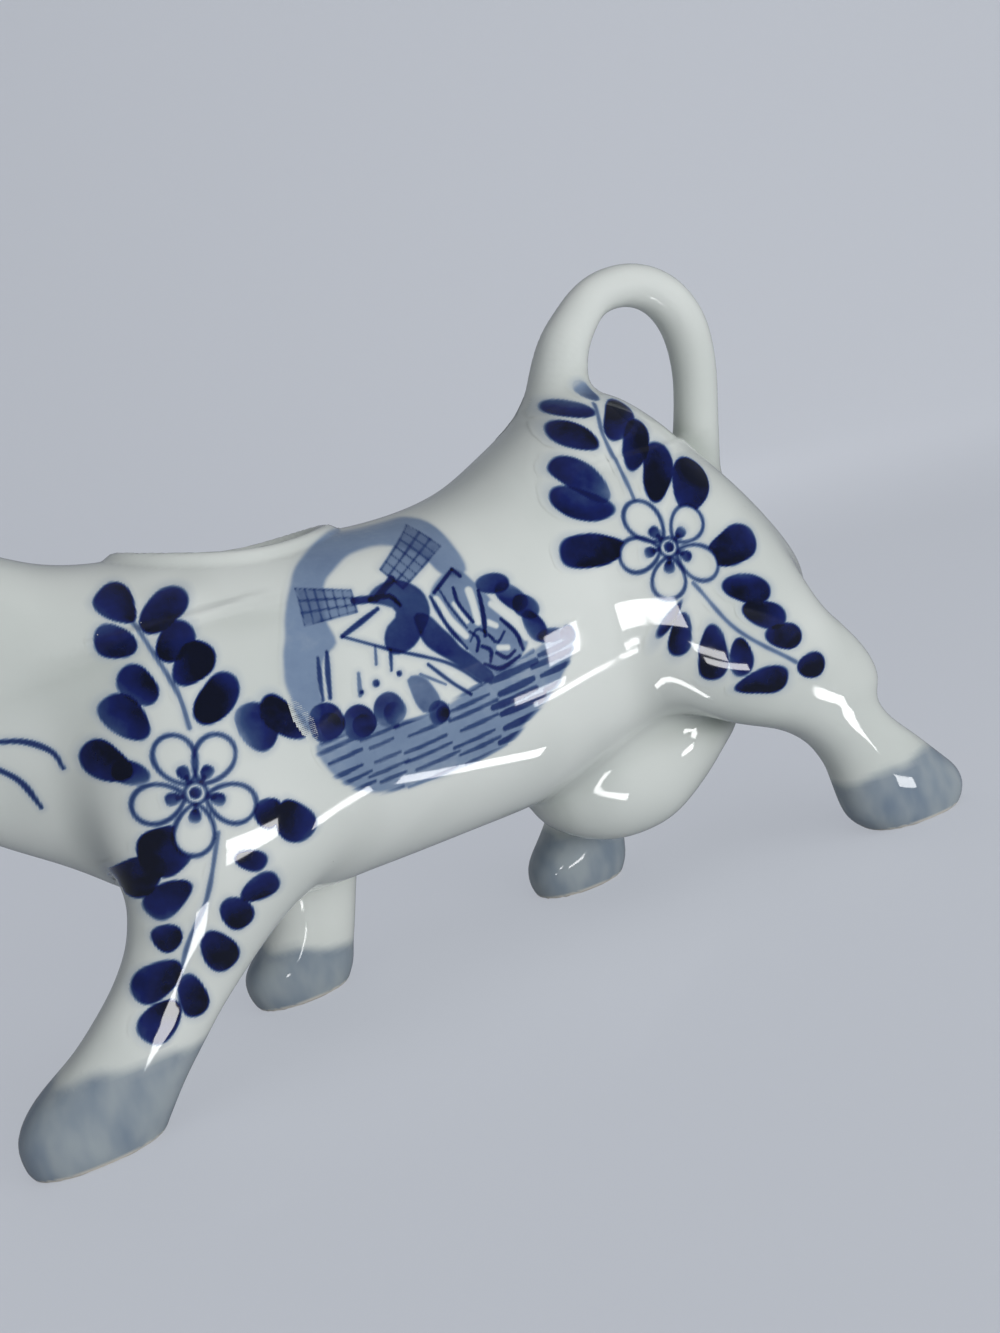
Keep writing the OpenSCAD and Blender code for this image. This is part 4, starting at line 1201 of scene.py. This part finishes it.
def latticeSail(sheet, tip, halfTip, narrowing):
    hub = np.array(view["hub"])
    run = np.array(tip) - hub
    length = np.linalg.norm(run)
    d = run / length
    n = np.array((-d[1], d[0]))
    start = 0.3

    def place(u, v):
        half = halfTip * (1 - narrowing * (1 - u))
        return hub + d * length * u + n * half * v

    drawWash(sheet, [place(start, -1), place(1, -1), place(1, 1), place(start, 1)], 0.26, 0.4, smooth=False)
    for v in (-1.0, -0.33, 0.33, 1.0):
        drawLine(sheet, [place(start, v), place(0.65, v), place(1.0, v)], 0.36, 0.42, soft=0.45)
    for u in np.linspace(start, 1.0, 7):
        drawLine(sheet, [place(u, -1), place(u, 0), place(u, 1)], 0.34, 0.4, soft=0.45)
    drawLine(sheet, [hub, place(start, 0)], 1.0, 0.66)


def drawView():
    sheet = newSheet(view["low"], view["high"], painting["viewStep"])
    for wash in ("cloud", "water", "barn"):
        drawWash(sheet, view[wash], *view["tones"][wash])
    for line, width in view["whites"]:
        drawLine(sheet, line, width, -0.9, soft=0.5)
    for sail in view["sails"]:
        latticeSail(sheet, *sail)
    for wash in ("cap", "roof"):
        drawWash(sheet, view[wash], *view["tones"][wash])
    line, width, tone, taper = view["arm"]
    drawLine(sheet, line, width, tone, taper=taper)
    for line, width, tone in view["thinLines"]:
        drawLine(sheet, line, width, tone, taper=view["lineTaper"])
    for x, z, size in view["dots"]:
        drawLeaf(sheet, x, z - size / 2, x, z + size / 2, size, 0.6, 0, 0)
    drawWash(sheet, view["millFoot"], *view["tones"]["millFoot"])
    for x, z, r, tone in view["bushes"]:
        drawLeaf(sheet, x - 0.4, z + r, x + 0.4, z - r, 2 * r, tone, 0, 0.12)
        drawLeaf(sheet, x + 0.2, z + 0.4 * r, x + 0.9, z - r, 1.3 * r, 0.5 * tone, 0, 0)
    for tree in view["trees"]:
        drawLeaf(sheet, *tree, 0, 0.05)
    # ripples, ruled one under another and heavier below the trees, only where there is water
    water = newSheet(view["low"], view["high"], painting["viewStep"])
    drawWash(water, view["water"], 1.0, 1.4)
    ripples = newSheet(view["low"], view["high"], painting["viewStep"])
    for row in range(view["rippleRows"]):
        for left, right, width, tone in view["ripples"]:
            x0 = left + 0.9 * math.sin(2.3 * row + left)
            x1 = right + 0.8 * math.sin(1.7 * row + right)
            z = view["low"][1] + 3.0 + view["rippleGap"] * row + 0.3 * math.sin(1.9 * row + left)
            ripple = [(x0, z), ((x0 + x1) / 2, z + 0.03 * (x1 - x0)), (x1, z + 0.08 * (x1 - x0))]
            drawLine(ripples, ripple, width, tone, soft=0.4, taper=0.3)
    sheet["tone"] = np.maximum(sheet["tone"], ripples["tone"] * water["tone"])
    return sheet


def toRightLeg(kind):
    # the same spray, fitted to the leg that stands elsewhere on the right side
    leftTable, rightTable = legTables["left_" + kind], legTables["right_" + kind]

    def fit(flat):
        z = np.clip(flat[:, 1], 14, 66)
        leftMid, leftHalf = readRows(leftTable, z)[:2]
        rightMid, rightHalf = readRows(rightTable, z)[:2]
        scale = np.clip(rightHalf / np.maximum(leftHalf, 1), 0.7, 1.1)
        return np.stack([rightMid + (flat[:, 0] - leftMid) * scale, flat[:, 1]], 1)
    return fit


def toRightView(flat):
    return np.stack([10.7 - (flat[:, 0] - 1.5) * 0.74, 55.5 + (flat[:, 1] - 55.0) * 0.88], 1)


collar = {
    "low": (-64.0, 45.0), "high": (-50.0, 64.0), "width": 0.75, "tone": 0.62, "taper": 0.35,
    "curls": [[(-60.9, 60.0), (-56.4, 58.9), (-53.4, 56.6), (-52.6, 54.0)],
              [(-61.6, 57.0), (-58.4, 53.6), (-56.8, 49.2)]],
}
eyePainting = {
    "low": (-81.0, 70.0), "high": (-69.0, 81.0), "pupil": (-73.6, 74.3, -76.6, 74.8, 2.4, 0.97),
    "lid": [(-71.8, 76.0), (-74.7, 77.7), (-78.0, 76.6)], "width": 0.6, "tone": 0.62, "taper": 0.4,
}


def drawCollar():
    sheet = newSheet(collar["low"], collar["high"], painting["sprayStep"])
    for curl in collar["curls"]:
        drawLine(sheet, curl, collar["width"], collar["tone"], taper=collar["taper"])
    return sheet


def drawEye():
    sheet = newSheet(eyePainting["low"], eyePainting["high"], painting["sprayStep"])
    drawLeaf(sheet, *eyePainting["pupil"])
    drawLine(sheet, eyePainting["lid"], eyePainting["width"], eyePainting["tone"], taper=eyePainting["taper"])
    return sheet


sprays = {
    "ShoulderSpray": drawSpray(shoulderSpray), "HaunchSpray": drawSpray(haunchSpray),
    "WaterView": drawView(), "Collar": drawCollar(), "EyePainting": drawEye()}
fits = {"ShoulderSpray": toRightLeg("fore"), "HaunchSpray": toRightLeg("hind"), "WaterView": toRightView}
for label, side in sides:
    for kind, sheet in sprays.items():
        laySheet(label + kind, sheet, side, fits.get(kind) if side > 0 else None)
print("painting laid on both flanks")


# floor and soft light

# the paper's glossy-ray glow is a painted reflection, not lamp light
stage = {
    "flat": 1.1, "wall": 2.0, "height": 2.2, "turns": 96, "colour": "#c9ccd2",
    "seen": "#c5cad3", "evenness": 0.65, "paintedReflection": "#70757d", "dimness": 0.7,
}


def makeStage():
    profile = [(r, 0.0) for r in np.linspace(0, stage["flat"], 8)]
    bend = stage["wall"] - stage["flat"]
    for a in np.linspace(0, math.pi / 2, 14)[1:]:
        profile.append((stage["flat"] + bend * math.sin(a), bend * (1 - math.cos(a))))
    profile.append((stage["wall"], stage["height"]))
    turns = stage["turns"]
    points = [(0, 0, 0)]
    for r, z in profile[1:]:
        for i in range(turns):
            a = 2 * math.pi * i / turns
            points.append((r * math.cos(a), r * math.sin(a), z))
    faces = [(0, 1 + i, 1 + (i + 1) % turns) for i in range(turns)]
    for ring in range(len(profile) - 2):
        a = 1 + ring * turns
        b = a + turns
        faces += [(a + i, b + i, b + (i + 1) % turns, a + (i + 1) % turns) for i in range(turns)]
    mesh = bpy.data.meshes.new("paperSweep")
    mesh.from_pydata(points, [], faces)
    mesh.shade_smooth()
    material, tree = newMaterial("mattPaper")
    shader = addNode(tree, "ShaderNodeBsdfPrincipled", {
        "Base Color": linearColour(stage["colour"]), "Roughness": 0.9, "Specular IOR Level": 0.2})
    # the camera sees the paper evened out and keeps a part of the shadows; for glossy rays it glows an even
    # dim grey, a painted reflection of a dim room
    path = addNode(tree, "ShaderNodeLightPath")
    surface = shader
    rays = (("Is Camera Ray", "seen", "evenness"), ("Is Glossy Ray", "paintedReflection", "dimness"))
    for ray, colour, share in rays:
        part = addNode(tree, "ShaderNodeMath", {0: path.outputs[ray], 1: stage[share]}, operation="MULTIPLY")
        glow = addNode(tree, "ShaderNodeEmission", {"Color": linearColour(stage[colour]), "Strength": 1.0})
        surface = addNode(tree, "ShaderNodeMixShader", {
            0: part.outputs[0], 1: surface.outputs[0], 2: glow.outputs[0]})
    addNode(tree, "ShaderNodeOutputMaterial", {"Surface": surface.outputs[0]})
    mesh.materials.append(material)
    sweep = bpy.data.objects.new("paperSweep", mesh)
    bpy.context.scene.collection.objects.link(sweep)


def areaLight(name, lamp, watts, gloss):
    data = bpy.data.lights.new(name, "AREA")
    data.shape = "RECTANGLE"
    data.size, data.size_y = lamp["size"]
    data.energy = watts
    piece = bpy.data.objects.new(name, data)
    piece.location = lamp["at"]
    piece.rotation_euler = (Vector(lamp["aim"]) - Vector(lamp["at"])).to_track_quat("-Z", "Y").to_euler()
    piece.visible_camera = False
    piece.visible_glossy = gloss
    piece.visible_diffuse = not gloss
    bpy.context.scene.collection.objects.link(piece)


softboxes = {  # metres and watts: these light the jug and the paper
    "overheadSoftbox": {"at": (-0.1, -0.3, 1.2), "aim": (0, 0, 0.04), "size": (1.1, 1.1), "watts": 1.9},
    "sideSoftbox": {"at": (0.5, -0.6, 0.42), "aim": (0, 0, 0.05), "size": (0.5, 0.4), "watts": 0.9},
    "lowSoftbox": {"at": (0.12, -0.75, 0.14), "aim": (0.01, 0, 0.04), "size": (0.7, 0.24), "watts": 4.0},
    "farSoftbox": {"at": (-0.05, 1.0, 0.3), "aim": (0, 0, 0.05), "size": (0.9, 0.4), "watts": 2.4},
    "backdropLamp": {"at": (0.5, 0.5, 0.9), "aim": (1.25, 1.5, 0.5), "size": (0.4, 0.4), "watts": 6.0},
}
cardBrightness = 13.0
cards = {  # metres: small bright cards laid before the jug, which only the gloss shows
    "haunchCard": {"at": (0.0402, -0.0454, 0.0444), "aim": (0.036, -0.021, 0.05), "size": (0.0074, 0.0088)},
    "haunchLowCard": {"at": (0.0475, -0.0605, 0.025), "aim": (0.035, -0.021, 0.045), "size": (0.015, 0.0045)},
    "haunchStripe": {"at": (0.0525, -0.0555, 0.0215), "aim": (0.049, -0.023, 0.039), "size": (0.02, 0.003)},
    "fetlockCard": {"at": (0.091, -0.049, 0.003), "aim": (0.067, -0.021, 0.026), "size": (0.01, 0.005)},
    "barrelCard": {"at": (0.02, -0.046, 0.003), "aim": (0, -0.022, 0.036), "size": (0.042, 0.005)},
    "forelegCard": {
        "at": (-0.0264, -0.0628, 0.0184), "aim": (-0.033, -0.025, 0.037), "size": (0.019, 0.0072)},
    "forelegLowCard": {"at": (-0.048, -0.055, 0.004), "aim": (-0.044, -0.022, 0.025), "size": (0.007, 0.006)},
}
makeStage()
for name, lamp in softboxes.items():
    areaLight(name, lamp, lamp["watts"], False)
for name, card in cards.items():
    areaLight(name, card, cardBrightness * math.pi * card["size"][0] * card["size"][1], True)
air = {"colour": "#dfe3ee", "strength": 0.3}
world = bpy.data.worlds.new("studioAir")
world.use_nodes = True
background = world.node_tree.nodes["Background"]
background.inputs[0].default_value = linearColour(air["colour"])
background.inputs[1].default_value = air["strength"]
bpy.context.scene.world = world
print("stage and light")
